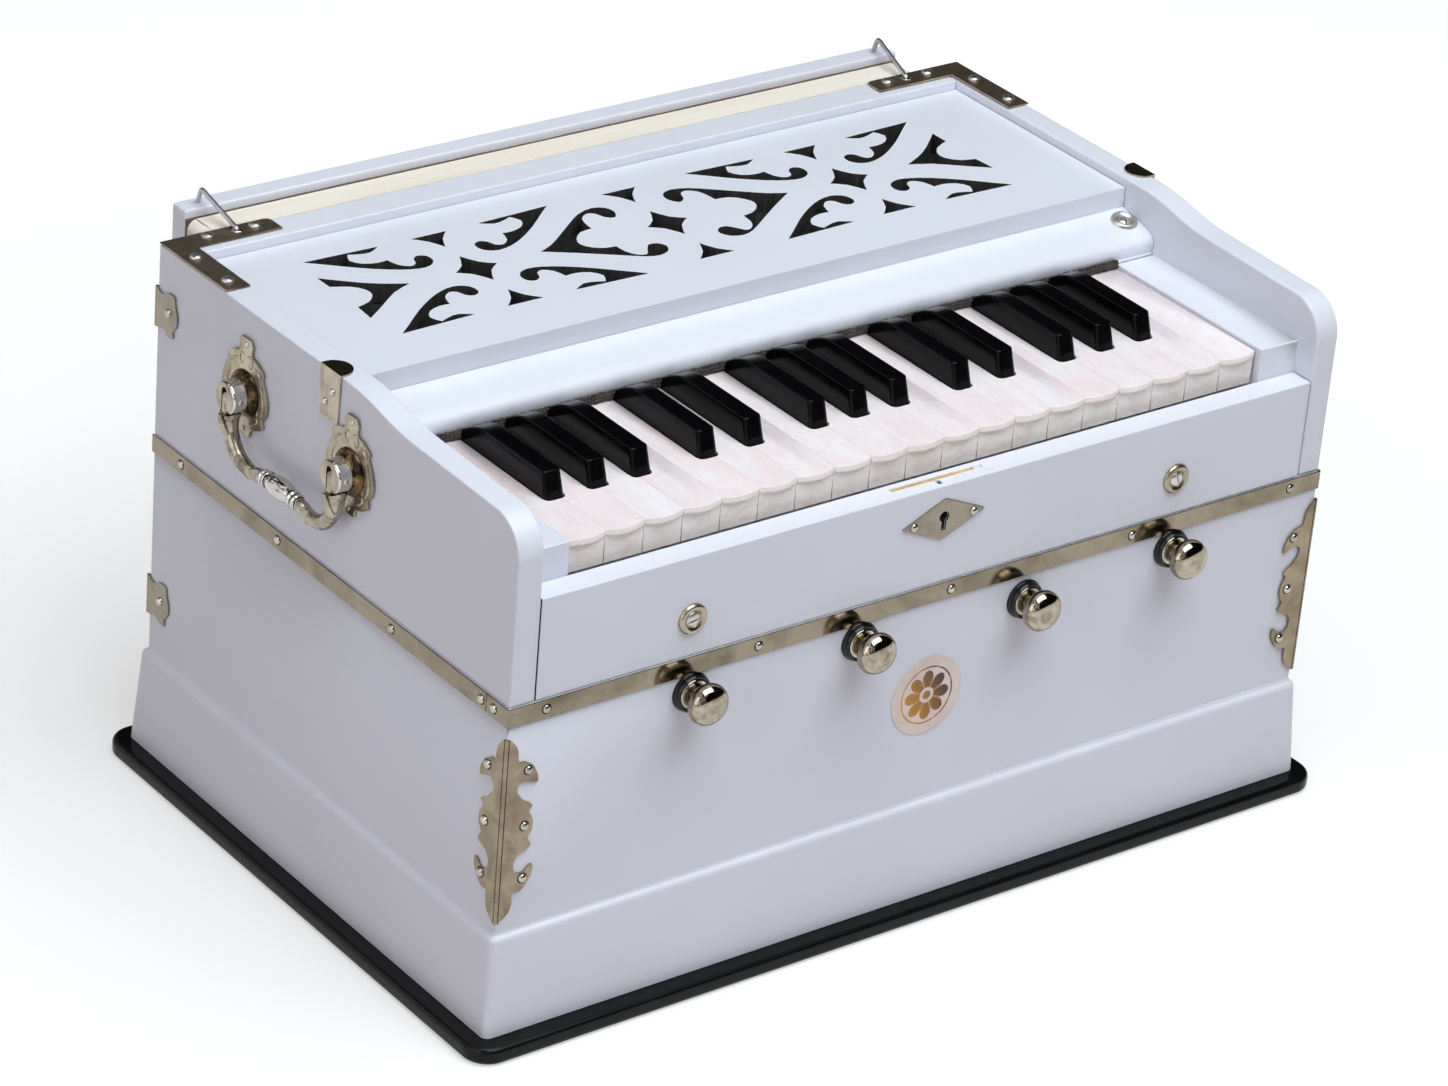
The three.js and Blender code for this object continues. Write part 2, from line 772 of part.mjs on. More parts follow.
function bellowsOutline(inset, top) {
  const halfWidth = bellowsWidth / 2 - inset;
  const low = bellowsBottom + inset;
  const high = top - inset;
  const shape = roundedRectangle(halfWidth, (high - low) / 2, bellowsCornerRadius);
  return shape.getPoints(3).map((p) => [p.x, p.y + (high + low) / 2]);
}

function bellowsFrame() {
  const frame = runBack(outline(bellowsOutline(0, rimTop)), back + seatGap, bellowsFrameRear);
  const x = bellowsWidth / 2 - bellowsFrameBar;
  const low = bellowsBottom + bellowsFrameBar;
  return cut(frame, block(-x, x, back, bellowsFrameRear + overrun, low, rimTop - bellowsFrameBar));
}

// The outer board of the bellows with the leather gasket that meets the frame
function bellowsBoard() {
  const half = bellowsWidth / 2;
  const boardRear = boardFront + bellowsBoardThickness;
  const board = block(-half, half, boardFront, boardRear, bellowsBottom, bellowsTop);
  const gasketRear = boardFront + weldDepth;
  const gasket = cut(
    runBack(outline(bellowsOutline(0, rimTop)), bellowsFrameRear + seatGap, gasketRear),
    runBack(outline(bellowsOutline(gasketWidth, rimTop)), bellowsFrameRear, gasketRear + overrun),
  );
  return joined(board, gasket);
}

// Folded card pleats: a rectangular tube whose wall runs in and out between frame and board
function bellowsPleats() {
  const near = back + 2 * seatGap;
  const far = boardFront - seatGap;
  const folds = 2 * pleatCount;
  const ringAt = (inset, y) => {
    const x = bellowsWidth / 2 - bellowsFrameBar - inset;
    const low = bellowsBottom + bellowsFrameBar + inset;
    const high = rimTop - bellowsFrameBar - inset;
    return [[-x, low], [x, low], [x, high], [-x, high]].map(([px, pz]) => new THREE.Vector3(px, y, pz));
  };
  const skin = (extra, overhang) => {
    const rings = [];
    for (let i = 0; i <= folds; i++) {
      const y = near + ((far - near) * i) / folds;
      const push = i === 0 ? -overhang : i === folds ? overhang : 0;
      rings.push(ringAt(2 * seatGap + (i % 2) * pleatDepth + extra, y + push));
    }
    return skinned(rings.reverse());
  };
  return cut(skin(0, 0), skin(pleatSkin, overrun));
}

function hook() {
  const foot = new THREE.Vector3(0, 0, -hookLegDepth);
  const neck = new THREE.Vector3(0, 0, hookNeckRise);
  const rise = hookRise - hookNeckRise;
  const tipZ = bellowsBoardRise + hookTipGap;
  const path = new THREE.CatmullRomCurve3([
    foot,
    new THREE.Vector3(0, 0, 0),
    neck,
    ...hookBendShares.map((u) => new THREE.Vector3(hookLean * u, hookReach * u, hookNeckRise + rise * u)),
    new THREE.Vector3(hookLean, hookReach, hookRise),
    new THREE.Vector3(hookLean, hookReach + hookTipReach / 2, hookRise - hookWireRadius),
    new THREE.Vector3(hookLean, hookReach + hookTipReach, tipZ),
  ]);
  const bent = bar(path, () => hookWireRadius, 16, 6);
  const floor = bellowsBoardRise + hookTipGap;
  const trim = block(-hookReach, hookReach, hookReach / 2, 2 * hookReach, -hookReach, floor);
  return cut(bent, trim);
}

function cornerPlate() {
  const x = side;
  const y = back;
  const sideLegX = inner + plateSideSetback;
  const shape = new THREE.Shape();
  shape.moveTo(x, y);
  shape.lineTo(x - plateRearLeg + plateEndRound, y);
  shape.quadraticCurveTo(x - plateRearLeg, y, x - plateRearLeg, y - plateEndRound);
  shape.lineTo(x - plateRearLeg, y - plateRearWidth);
  shape.lineTo(sideLegX, y - plateRearWidth);
  shape.lineTo(sideLegX, y - plateSideLeg);
  shape.lineTo(x, y - plateSideLeg);
  const z = rimTop + seatGap;
  const plate = raised(shape, z, z + plateThickness, 4);
  const hole = rod(hookHoleRadius, 2 * plateThickness + 2 * overrun, 10).rotateX(Math.PI / 2);
  return cut(plate, hole.translate(hookFootX, hookFootY, z));
}

// Edge of the corner brackets: x as a share of the wing's width, z as a share of its height
const angleShares = [
  [0, 0], [0.12, 0.01], [0.37, 0.05], [0.46, 0.107], [0.46, 0.15], [0.65, 0.153], [0.8, 0.178],
  [0.98, 0.23], [1, 0.281], [0.88, 0.278], [0.7, 0.25], [0.49, 0.266], [0.44, 0.319], [0.59, 0.358],
  [0.84, 0.378], [0.9, 0.402], [0.8, 0.432], [0.91, 0.477], [0.91, 0.533], [0.79, 0.581],
  [0.88, 0.61], [0.63, 0.645], [0.44, 0.691], [0.41, 0.728], [0.56, 0.753], [0.78, 0.743],
  [0.98, 0.728], [0.97, 0.77], [0.82, 0.826], [0.59, 0.856], [0.41, 0.864], [0.35, 0.935],
  [0.18, 0.985], [0, 1],
];

function frontAngle() {
  const far = side + seatGap + angleThickness;
  const near = front - seatGap - angleThickness;
  const edge = angleShares.map(([u, v]) => [u * angleWidth, angleBottom + v * angleHeight]);
  const frontWing = outline([...edge].reverse().map(([u, z]) => [far - u, z]));
  const sideWing = outline(edge.map(([u, z]) => [near + u, z]));
  const onFront = runBack(frontWing, near, near + angleThickness);
  const onSide = runAcross(sideWing, far - angleThickness, far);
  return joined(onFront, onSide);
}

// Half outline of a handle's back plate, from top to bottom
const escutcheonShares = [
  [0.2, 0.99], [0.3, 0.86], [0.27, 0.68], [0.52, 0.62], [0.8, 0.48], [0.76, 0.36],
  [0.9, 0.16], [1, -0.08], [0.96, -0.32], [0.8, -0.46], [0.84, -0.6], [0.62, -0.72],
  [0.34, -0.8], [0.26, -0.97],
];

function handleMount() {
  const half = escutcheonShares.map(([u, v]) => [
    u * escutcheonHalfWidth,
    v * escutcheonHalfHeight + escutcheonRise,
  ]);
  const mirrored = [...half].reverse().map(([u, v]) => [-u, v]);
  const plate = runAcross(outline([...mirrored, ...half]), seatGap, seatGap + escutcheonThickness);
  const collar = seatGap + escutcheonThickness + collarHeight;
  const profile = [
    [0, seatGap + weldDepth], [collarRadius, seatGap + weldDepth],
    [collarRadius, seatGap + escutcheonThickness], [bossRadius + bossRound, collar - bossRound],
    [bossRadius, collar], [bossRadius, bossLength - bossRound],
    [bossRadius - bossRound, bossLength], [0, bossLength],
  ];
  const boss = new THREE.LatheGeometry(profile.map(([r, h]) => new THREE.Vector2(r, h)), 18);
  const halfSlot = bailEyeWidth / 2 + bailEyeGap;
  const slot = block(
    bailAxisOut - bailEyeRadius - bailEyeGap, bossLength + overrun,
    -halfSlot, halfSlot,
    -bossRadius - collarRadius, bailEyeRadius + bossSlotHeadroom,
  );
  const pin = rod(bailPinRadius, 2 * (halfSlot + overrun), 12).translate(bailAxisOut, 0, 0);
  return joined(plate, cut(boss.rotateZ(-Math.PI / 2), slot), pin);
}

// The bail's line from its rear eye: down, round the corner and in to the turned bead at the middle
const bailShares = [
  [0.5, -0.14], [0.505, -0.36], [0.485, -0.64], [0.41, -0.89], [0.29, -0.98], [0.15, -0.9],
];

// How far the bail swells from its bar to the bead, by the share of its length from the middle
const beadShares = [[0, 1], [0.07, 0.8], [0.085, 0.5], [0.1, 0.72], [0.118, 0.15], [0.15, 0]];
const neckStartShare = 0.32;

function bailRadiusAt(share) {
  const fromMiddle = Math.abs(share - 1 / 2);
  if (fromMiddle > neckStartShare) {
    const along = (fromMiddle - neckStartShare) / (1 / 2 - neckStartShare);
    return bailRadius + (bailNeckRadius - bailRadius) * along * along;
  }
  const next = beadShares.findIndex(([u]) => fromMiddle <= u);
  if (next < 1) {
    return next === 0 ? bailBeadRadius : bailRadius;
  }
  const [u0, v0] = beadShares[next - 1];
  const [u1, v1] = beadShares[next];
  const swell = v0 + ((v1 - v0) * (fromMiddle - u0)) / (u1 - u0);
  return bailRadius + (bailBeadRadius - bailRadius) * swell;
}

function bail() {
  const half = bailShares.map(([u, v]) => new THREE.Vector3(0, u * handleSpan, v * bailDrop));
  const mirrored = [...half].reverse().map((p) => new THREE.Vector3(0, -p.y, p.z));
  const path = new THREE.CatmullRomCurve3([...half, ...mirrored]);
  const grip = bar(path, bailRadiusAt, 34, 8);
  const clear = bossRadius + bailEyeGap;
  const bossSpace = [-1, 1].map((end) =>
    rod(clear, 2 * handleSpan, 18).rotateZ(Math.PI / 2).translate(0, (end * handleSpan) / 2, 0));
  const eyes = [-1, 1].map((end) => {
    const y = (end * handleSpan) / 2;
    const disc = rod(bailEyeRadius, bailEyeWidth, 14).translate(0, y, 0);
    const halfWidth = bailEyeWidth / 2;
    const reach = clear + bailRadius;
    const tongue = block(-bailEyeRadius, bailEyeRadius, y - halfWidth, y + halfWidth, -reach, 0);
    const hole = rod(bailPinRadius + seatGap, bailEyeWidth + 2 * overrun, 12).translate(0, y, 0);
    return cut(joined(disc, tongue), hole);
  });
  return joined(cut(grip, ...bossSpace), ...eyes);
}

// A handle set in the frame of one side: x out from the case, y back, z up
function addHandle(hand, parent) {
  const place = new THREE.Group();
  place.position.set(side, front + handleDepth, handleHeight);
  parent.add(place);
  const ends = { front: -1, rear: 1 };
  for (const [end, way] of Object.entries(ends)) {
    const mesh = addNode("handle_mount_" + end + "_" + hand, handleMount(), nickel, place);
    mesh.position.y = (way * handleSpan) / 2;
  }
  addNode("handle_bail_" + hand, bail(), brightNickel, place).position.x = bailAxisOut;
}

// Drawstop: a flattened ball, its neck and the rod that runs through the case wall
function drawstop() {
  const profile = [[0, stopKnobOut + stopKnobHalfDepth]];
  const turns = 8;
  const neckAngle = Math.asin(stopNeckRadius / stopKnobRadius);
  for (let i = 1; i <= turns; i++) {
    const angle = ((Math.PI - neckAngle) * i) / turns;
    const out = stopKnobOut + stopKnobHalfDepth * Math.cos(angle);
    profile.push([stopKnobRadius * Math.sin(angle), out]);
  }
  profile.push([stopNeckRadius, seatGap], [stopRodRadius, seatGap]);
  profile.push([stopRodRadius, -stopRodLength], [0, -stopRodLength]);
  const points = profile.reverse().map(([r, h]) => new THREE.Vector2(r, h));
  const geometry = new THREE.LatheGeometry(points, 14);
  return geometry.rotateX(Math.PI);
}

addNode("base_board", baseBoard(), blackGloss);
const stopPlaces = stopPlaceShares.map((share, i) => ({
  x: share * caseWidth,
  z: stopHeight - sagShares[i] * stopSag,
}));
addNode("lower_case", lowerCase(stopPlaces, addKeys()), paint);
addNode("metal_band", metalBand(), nickel);
addPair("side_panel", cheek(), paint);
addNode("rear_panel", rearPanel(), paint);
addNode("front_panel", frontPanel(), paint);
addNode("cover_rail", coverRail(), paint);
addNode("fretwork_lid", lid(), paint);
addNode("bellows_frame", bellowsFrame(), pine);
addNode("bellows_pleats", bellowsPleats(), bellowsCloth);
addNode("bellows_board", bellowsBoard(), paint);
addPair("corner_plate", cornerPlate(), nickel);
addPair("front_angle", frontAngle(), nickel);
addHandle("right", model);
addHandle("left", leftHand);
for (const [name, parent] of [["bellows_hook_right", model], ["bellows_hook_left", leftHand]]) {
  addNode(name, hook(), brightNickel, parent).position.set(hookFootX, hookFootY, rimTop);
}
stopPlaces.forEach((place, i) => {
  addNode("drawstop_" + (i + 1), drawstop(), brightNickel).position.set(place.x, front, place.z);
});

export default model;
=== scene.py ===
"""Looks of a portable hand-pumped reed organ: its finishes, its fittings and the studio around it."""
import json
import math
import random

import bmesh
import bpy
from bpy.props import FloatProperty, FloatVectorProperty, PointerProperty
from mathutils import Matrix, Vector

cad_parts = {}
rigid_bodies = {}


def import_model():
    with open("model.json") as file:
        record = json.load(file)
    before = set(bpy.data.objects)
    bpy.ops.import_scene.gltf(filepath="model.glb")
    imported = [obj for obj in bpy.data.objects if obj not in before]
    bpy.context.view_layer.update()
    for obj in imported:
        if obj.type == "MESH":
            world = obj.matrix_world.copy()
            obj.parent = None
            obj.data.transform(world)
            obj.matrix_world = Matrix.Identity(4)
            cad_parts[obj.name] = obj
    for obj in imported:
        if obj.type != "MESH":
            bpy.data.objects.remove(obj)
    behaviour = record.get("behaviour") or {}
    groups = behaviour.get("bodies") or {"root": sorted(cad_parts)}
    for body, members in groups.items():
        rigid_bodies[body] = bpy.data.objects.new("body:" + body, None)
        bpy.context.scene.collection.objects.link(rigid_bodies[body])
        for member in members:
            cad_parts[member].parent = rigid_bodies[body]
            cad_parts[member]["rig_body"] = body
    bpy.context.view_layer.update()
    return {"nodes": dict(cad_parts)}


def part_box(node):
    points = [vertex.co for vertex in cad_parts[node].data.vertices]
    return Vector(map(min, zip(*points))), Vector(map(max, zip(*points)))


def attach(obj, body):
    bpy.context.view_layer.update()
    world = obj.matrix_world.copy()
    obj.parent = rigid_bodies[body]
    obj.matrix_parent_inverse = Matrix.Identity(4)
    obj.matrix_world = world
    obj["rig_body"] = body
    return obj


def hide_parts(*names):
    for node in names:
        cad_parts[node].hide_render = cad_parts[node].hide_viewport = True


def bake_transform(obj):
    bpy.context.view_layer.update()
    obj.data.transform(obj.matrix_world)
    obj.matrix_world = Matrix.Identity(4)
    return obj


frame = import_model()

bl_info = {
    "name": "Indian Harmonium",
    "version": (1, 0, 0),
    "blender": (4, 5, 0),
    "location": "3D View > Sidebar > Harmonium",
    "description": "Finishes, fittings and studio for a portable hand-pumped reed organ",
    "category": "Object",
}

MM = 0.001
HANDS = ((1, "right"), (-1, "left"))
ORIGIN = (0, 0, 0)
UP = (0, 0, 1)
FORWARD = (0, -1, 0)
QUARTER = math.pi / 2


def edge(node, axis, high):
    """One face of a CAD node's box, in metres."""
    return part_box(node)[1 if high else 0][axis]


# Faces of the case and levels that the fittings are set by.
FRONT = edge("lower_case", 1, False) + 6.4 * MM
BACK = edge("rear_panel", 1, True)
SIDE = edge("side_panel_right", 0, True)
INNER = SIDE - 14 * MM
KEYS_END = INNER - 25 * MM
RIM_TOP = edge("rear_panel", 2, True)
PLATE_TOP = edge("corner_plate_right", 2, True)
BAND_BOTTOM = edge("metal_band", 2, False)
BAND_TOP = edge("metal_band", 2, True)
PANEL_TOP = edge("front_panel", 2, True)
KEYHOLE = PANEL_TOP - 16.6 * MM
KEY_TOP = edge("key_f_1", 2, True)
LID_TOP = edge("fretwork_lid", 2, True)
# The underside of the white keys' caps, their notches in the CAD and here, and half a black key's width.
CAP_FOOT = KEY_TOP - 3.2 * MM
CAD_NOTCH = FRONT + 51.6 * MM
NOTCH = FRONT + 53 * MM
BLACK_HALF = 5.6 * MM


# Meshes


def mm(rows):
    """Rows of millimetres, in metres."""
    return [tuple(value * MM for value in row) for row in rows]


def linked(name, data):
    made = bpy.data.objects.new(name, data)
    bpy.context.scene.collection.objects.link(made)
    return made


def mesh_from(bm, name="shape"):
    """The mesh of a bmesh, which is used up."""
    mesh = bpy.data.meshes.new(name)
    bm.to_mesh(mesh)
    bm.free()
    return mesh


def bmesh_of(mesh):
    bm = bmesh.new()
    bm.from_mesh(mesh)
    return bm


def add_piece(bm, name, body, slot, finishes, smooth_angle=40, node=None, even=True):
    """A piece, smooth except over edges sharper than the angle. With a node, it stands for that node."""
    bmesh.ops.recalc_face_normals(bm, faces=bm.faces)
    mesh = mesh_from(bm, name)
    mesh.shade_smooth()
    mesh.set_sharp_from_angle(angle=math.radians(smooth_angle))
    for finish in finishes:
        mesh.materials.append(finish_of(finish))
    piece = linked(name, mesh)
    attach(piece, body)
    if node:
        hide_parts(node)
    if even:
        piece.modifiers.new("Weighted Normal", "WEIGHTED_NORMAL").keep_sharp = True


def add_trim(bm, name, finishes, smooth_angle=40):
    """A plated fitting fixed to the case."""
    add_piece(bm, name, "case", "nickel_plate", finishes, smooth_angle)


def sharp_edges(bm, angle, shortest):
    limit = math.radians(angle)
    return [
        e for e in bm.edges
        if len(e.link_faces) == 2
        and e.calc_face_angle(0) > limit
        and e.calc_length() > shortest
    ]


def way_of(e):
    """The direction of an edge."""
    return (e.verts[0].co - e.verts[1].co).normalized()


def bevel(bm, edges, width, segments=3):
    bmesh.ops.bevel(
        bm, geom=edges, offset=width, segments=segments, profile=0.5,
        affect="EDGES", clamp_overlap=True, miter_outer="ARC",
    )


def cad_bmesh(node):
    """A CAD node's mesh with its split vertices joined and its flat faces made whole."""
    bm = bmesh_of(frame["nodes"][node].data)
    for layer in list(bm.loops.layers.uv):
        bm.loops.layers.uv.remove(layer)
    bmesh.ops.remove_doubles(bm, verts=bm.verts, dist=1e-6)
    bmesh.ops.dissolve_limit(bm, angle_limit=math.radians(0.5), verts=bm.verts, edges=bm.edges)
    return bm


def dressed(node, finish, slot, width=0, shortest=4 * MM, angle=35, segments=3):
    """A copy of a CAD node with its outer edges eased, standing for the node."""
    bm = cad_bmesh(node)
    if width:
        bevel(bm, [e for e in sharp_edges(bm, angle, shortest) if e.is_convex], width, segments)
    add_piece(bm, f"{node}_finish", frame["nodes"][node]["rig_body"], slot, [finish], 50, node)


def skin(bm, rings, wrap=False):
    """Faces from each ring of vertices to the next. A ring of one vertex is a pole."""
    count = max(len(ring) for ring in rings)
    faces = []
    for low, high in zip(rings, rings[1:] + rings[:1] if wrap else rings[1:]):
        for i in range(count):
            j = (i + 1) % count
            corners = (low[i % len(low)], low[j % len(low)], high[j % len(high)], high[i % len(high)])
            kept = list(dict.fromkeys(corners))
            if len(kept) > 2:
                faces.append(bm.faces.new(kept))
    return faces


def caps(bm, rings):
    """The faces that close the first and the last ring."""
    return [bm.faces.new(ring) for ring in (rings[0], rings[-1]) if len(ring) > 1]


def lathe_into(bm, profile, centre, axis, segments, wrap=False):
    """Turns a profile of (radius, height) about an axis. It is closed at its ends, or wrapped."""
    axis = Vector(axis).normalized()
    across = Vector(UP) - axis * axis.dot(Vector(UP))
    if across.length < 1e-6:
        across = axis.orthogonal()
    across.normalize()
    other = axis.cross(across)
    rings = []
    for radius, height in profile:
        middle = Vector(centre) + axis * height
        turns = [math.tau * i / segments for i in range(segments)] if radius > 1e-7 else [0]
        rings.append([
            bm.verts.new(middle + (across * math.cos(turn) + other * math.sin(turn)) * radius)
            for turn in turns])
    faces = skin(bm, rings, wrap)
    return faces if wrap else faces + caps(bm, rings)


def loft_into(bm, rings):
    """Skins equal rings of points one to the next and closes the ends."""
    made = [[bm.verts.new(p) for p in ring] for ring in rings]
    return skin(bm, made) + caps(bm, made)


def sheet_into(bm, outline, place, thickness):
    """A flat sheet from a 2-D outline: place(u, v, w) gives the point at height w over the seat."""
    rings = [[bm.verts.new(place(u, v, w)) for u, v in outline] for w in (0, thickness)]
    return caps(bm, rings) + skin(bm, rings)


def smooth_run(points, pieces):
    """Points on a smooth open curve through the given ones, each of (x, y) or (x, y, z)."""
    pts = [Vector((*p, 0)[:3]) for p in points]
    padded = [pts[0] * 2 - pts[1], *pts, pts[-1] * 2 - pts[-2]]
    run = []
    for i in range(1, len(padded) - 2):
        a, b, c, d = padded[i - 1:i + 3]
        for k in range(pieces):
            t = k / pieces
            run.append(0.5 * (
                2 * b + (c - a) * t + (2 * a - 5 * b + 4 * c - d) * t * t
                + (3 * b - a - 3 * c + d) * t * t * t
            ))
    run.append(pts[-1])
    return run


def arc(radius, start, end, steps):
    """Points of an arc about the origin, both its ends among them, by angles in degrees."""
    turns = [math.radians(start + (end - start) * i / steps) for i in range(steps + 1)]
    return [(radius * math.cos(turn), radius * math.sin(turn)) for turn in turns]


def rounded_plan(half_x, half_y, radius, steps, middle_y=0):
    """A rectangle with rounded corners, about the middle of the part."""
    plan = []
    for sx, sy, start in ((1, -1, -90), (1, 1, 0), (-1, 1, 90), (-1, -1, 180)):
        plan += [(sx * (half_x - radius) + u, middle_y + sy * (half_y - radius) + v)
                 for u, v in arc(radius, start, start + 90, steps)]
    return plan


def tube_into(bm, path, radius_at, sides, up):
    """A round bar along points. radius_at(share, angle) may vary round the bar."""
    total = sum((b - a).length for a, b in zip(path, path[1:]))
    run = 0
    rings = []
    across = Vector(up)
    for i, p in enumerate(path):
        if i:
            run += (p - path[i - 1]).length
        ahead = path[min(i + 1, len(path) - 1)] - path[max(i - 1, 0)]
        ahead.normalize()
        across = (across - ahead * across.dot(ahead)).normalized()
        other = ahead.cross(across)
        turns = [math.tau * k / sides for k in range(sides)]
        rings.append([
            p + (across * math.cos(turn) + other * math.sin(turn)) * radius_at(run / total, turn)
            for turn in turns])
    return loft_into(bm, rings)


def box_into(bm, low, high):
    corners = [
        bm.verts.new((x, y, z))
        for x in (low[0], high[0]) for y in (low[1], high[1]) for z in (low[2], high[2])
    ]
    quads = ((0, 1, 3, 2), (4, 6, 7, 5), (0, 4, 5, 1), (2, 3, 7, 6), (0, 2, 6, 4), (1, 5, 7, 3))
    return [bm.faces.new([corners[i] for i in quad]) for quad in quads]


def facing(place, normal, spin=0.0):
    """The matrix that sets a shape made on +Z at a place, looking along a normal."""
    turn = Vector(normal).to_track_quat("Z", "Y").to_matrix().to_4x4()
    return Matrix.Translation(Vector(place)) @ turn @ Matrix.Rotation(spin, 4, "Z")


def stamp(bm, shape, matrix, index=0):
    """Adds a copy of a small mesh to a bmesh and returns its faces."""
    first = len(bm.verts)
    first_face = len(bm.faces)
    bm.from_mesh(shape)
    bm.verts.ensure_lookup_table()
    bm.faces.ensure_lookup_table()
    bmesh.ops.transform(bm, matrix=matrix, verts=bm.verts[first:])
    for face in bm.faces[first_face:]:
        face.material_index = index
    return bm.faces[first_face:]


def mesh_of(build):
    """A small mesh made by a function that fills a bmesh."""
    bm = bmesh.new()
    build(bm)
    bmesh.ops.recalc_face_normals(bm, faces=bm.faces)
    return mesh_from(bm)


def turned_shape(profile, segments, centre=ORIGIN, axis=UP):
    return mesh_of(lambda bm: lathe_into(bm, profile, centre, axis, segments))


def box_shape(low, high):
    return mesh_of(lambda bm: box_into(bm, low, high))


def carved(mesh, *cutters):
    """A mesh with other closed meshes cut out of it."""
    base = linked("carved", mesh)
    tools = []
    for cutter in cutters:
        tool = linked("cutter", cutter)
        tools.append(tool)
        modifier = base.modifiers.new("cut", "BOOLEAN")
        modifier.object = tool
        modifier.operation = "DIFFERENCE"
        modifier.solver = "EXACT"
    graph = bpy.context.evaluated_depsgraph_get()
    result = bpy.data.meshes.new_from_object(base.evaluated_get(graph))
    for made in (base, *tools):
        bpy.data.objects.remove(made)
    return result


def dome(radius, height, steps=6):
    """Profile of a round head from its rim up to its top."""
    turns = [QUARTER * i / steps for i in range(steps + 1)]
    return [(radius * math.cos(turn), height * math.sin(turn)) for turn in turns]


def pin_shape(radius, height):
    return turned_shape([(radius, -0.4 * MM), *dome(radius, height)], 20)


def halo_shape(radius):
    """The tarnished ring round a pin."""
    return turned_shape([(radius, -0.3 * MM), (radius, 0.05 * MM), (0, 0.05 * MM)], 20)


def screw_shape(radius, height, slot_width, slot_depth):
    rim = 0.25 * MM
    crown = [(r, h + rim) for r, h in dome(radius * 0.97, height)]
    head = turned_shape([(radius, -0.5 * MM), (radius, rim), *crown], 28)
    half = slot_width / 2
    floor = height + rim - slot_depth
    return carved(head, box_shape((-2 * radius, -half, floor), (2 * radius, half, 2 * height)))


def washer_profile(radius):
    """A cup washer: rounded rim, dished middle."""
    rim = radius * 0.16
    return [
        (radius, -0.3 * MM), (radius, 0.5 * MM), (radius - rim * 0.35, 1.5 * MM), (radius - rim, 2.05 * MM),
        (radius - 1.9 * rim, 1.9 * MM), (radius - 2.8 * rim, 1.1 * MM),
        (radius * 0.5, 0.5 * MM), (radius * 0.44, -0.3 * MM),
    ]


# Materials


def feed(tree, socket, value):
    """Links a node's socket to an output, or fixes its value."""
    if isinstance(value, bpy.types.NodeSocket):
        tree.links.new(value, socket)
    else:
        socket.default_value = value


class Graph:
    """Short words for building a node tree."""

    def __init__(self, owner):
        owner.use_nodes = True
        self.tree = owner.node_tree

    def node(self, kind, values=None, **settings):
        made = self.tree.nodes.new("ShaderNode" + kind)
        for key, value in settings.items():
            setattr(made, key, value)
        for socket, value in (values or {}).items():
            feed(self.tree, made.inputs[socket], value)
        return made

    def between(self, value, low, high, to_low=0, to_high=1):
        return self.node("MapRange", {
            "Value": value, "From Min": low, "From Max": high, "To Min": to_low, "To Max": to_high,
        }).outputs["Result"]

    def math(self, operation, *values):
        return self.node("Math", dict(enumerate(values)), operation=operation).outputs["Value"]

    def times(self, a, b):
        return self.math("MULTIPLY", a, b)

    def over(self, a, b):
        return self.math("DIVIDE", a, b)

    def plus(self, a, b):
        return self.math("ADD", a, b)

    def minus(self, a, b):
        return self.math("SUBTRACT", a, b)

    def most(self, a, b):
        return self.math("MAXIMUM", a, b)


class Nodes(Graph):
    """The node tree of one material round its shader."""

    def __init__(self, name):
        self.material = bpy.data.materials.new(name)
        super().__init__(self.material)
        self.shader = self.tree.nodes["Principled BSDF"]
        self.point = self.tree.nodes.new("ShaderNodeTexCoord").outputs["Object"]

    def give(self, value, socket):
        feed(self.tree, self.shader.inputs[socket], value)

    def done(self, colour, roughness, relief, strength, depth):
        """The material with its colour, its roughness and its relief, whose depth is in millimetres."""
        self.give(colour, "Base Color")
        self.give(roughness, "Roughness")
        self.give(self.node("Bump", {
            "Height": relief, "Strength": strength, "Distance": depth * MM}).outputs["Normal"], "Normal")
        return self.material

    def stretched(self, scale):
        return self.node("Mapping", {"Vector": self.point, "Scale": scale}).outputs["Vector"]

    def noise(self, scale, detail=3, roughness=0.5, vector=None, distortion=0):
        return self.node("TexNoise", {
            "Vector": vector or self.point, "Scale": scale, "Detail": detail,
            "Roughness": roughness, "Distortion": distortion,
        }).outputs["Fac"]

    def mix(self, share, first, second):
        made = self.node("Mix", data_type="RGBA")
        for number, value in ((0, share), (6, first), (7, second)):
            feed(self.tree, made.inputs[number], value)
        return made.outputs[2]


def srgb(r, g, b):
    """A colour written as 0-255 display values, as linear RGBA."""
    def linear(v):
        v /= 255
        return v / 12.92 if v <= 0.04045 else ((v + 0.055) / 1.055) ** 2.4
    return (linear(r), linear(g), linear(b), 1)


def shade(colour, factor):
    return tuple(min(1, c * factor) for c in colour[:3]) + (1,)


def paint_material(colour):
    """Sprayed satin paint: faint orange peel, cloudy gloss and rare dust specks."""
    n = Nodes("white_paint")
    cloud = n.noise(9, 4)
    tone = n.mix(n.between(cloud, 0.35, 0.7), shade(colour, 0.975), shade(colour, 1.015))
    specks = n.node("TexVoronoi", {"Vector": n.point, "Scale": 95, "Randomness": 1}).outputs["Distance"]
    rare = n.times(n.between(specks, 0.022, 0.012), n.between(n.noise(40, 2), 0.55, 0.6))
    n.give(0.5, "Specular IOR Level")
    return n.done(
        n.mix(rare, tone, shade(colour, 0.55)),
        n.between(n.noise(26, 5, 0.6), 0.3, 0.7, 0.29, 0.36), n.noise(620, 2), 0.035, 0.4)


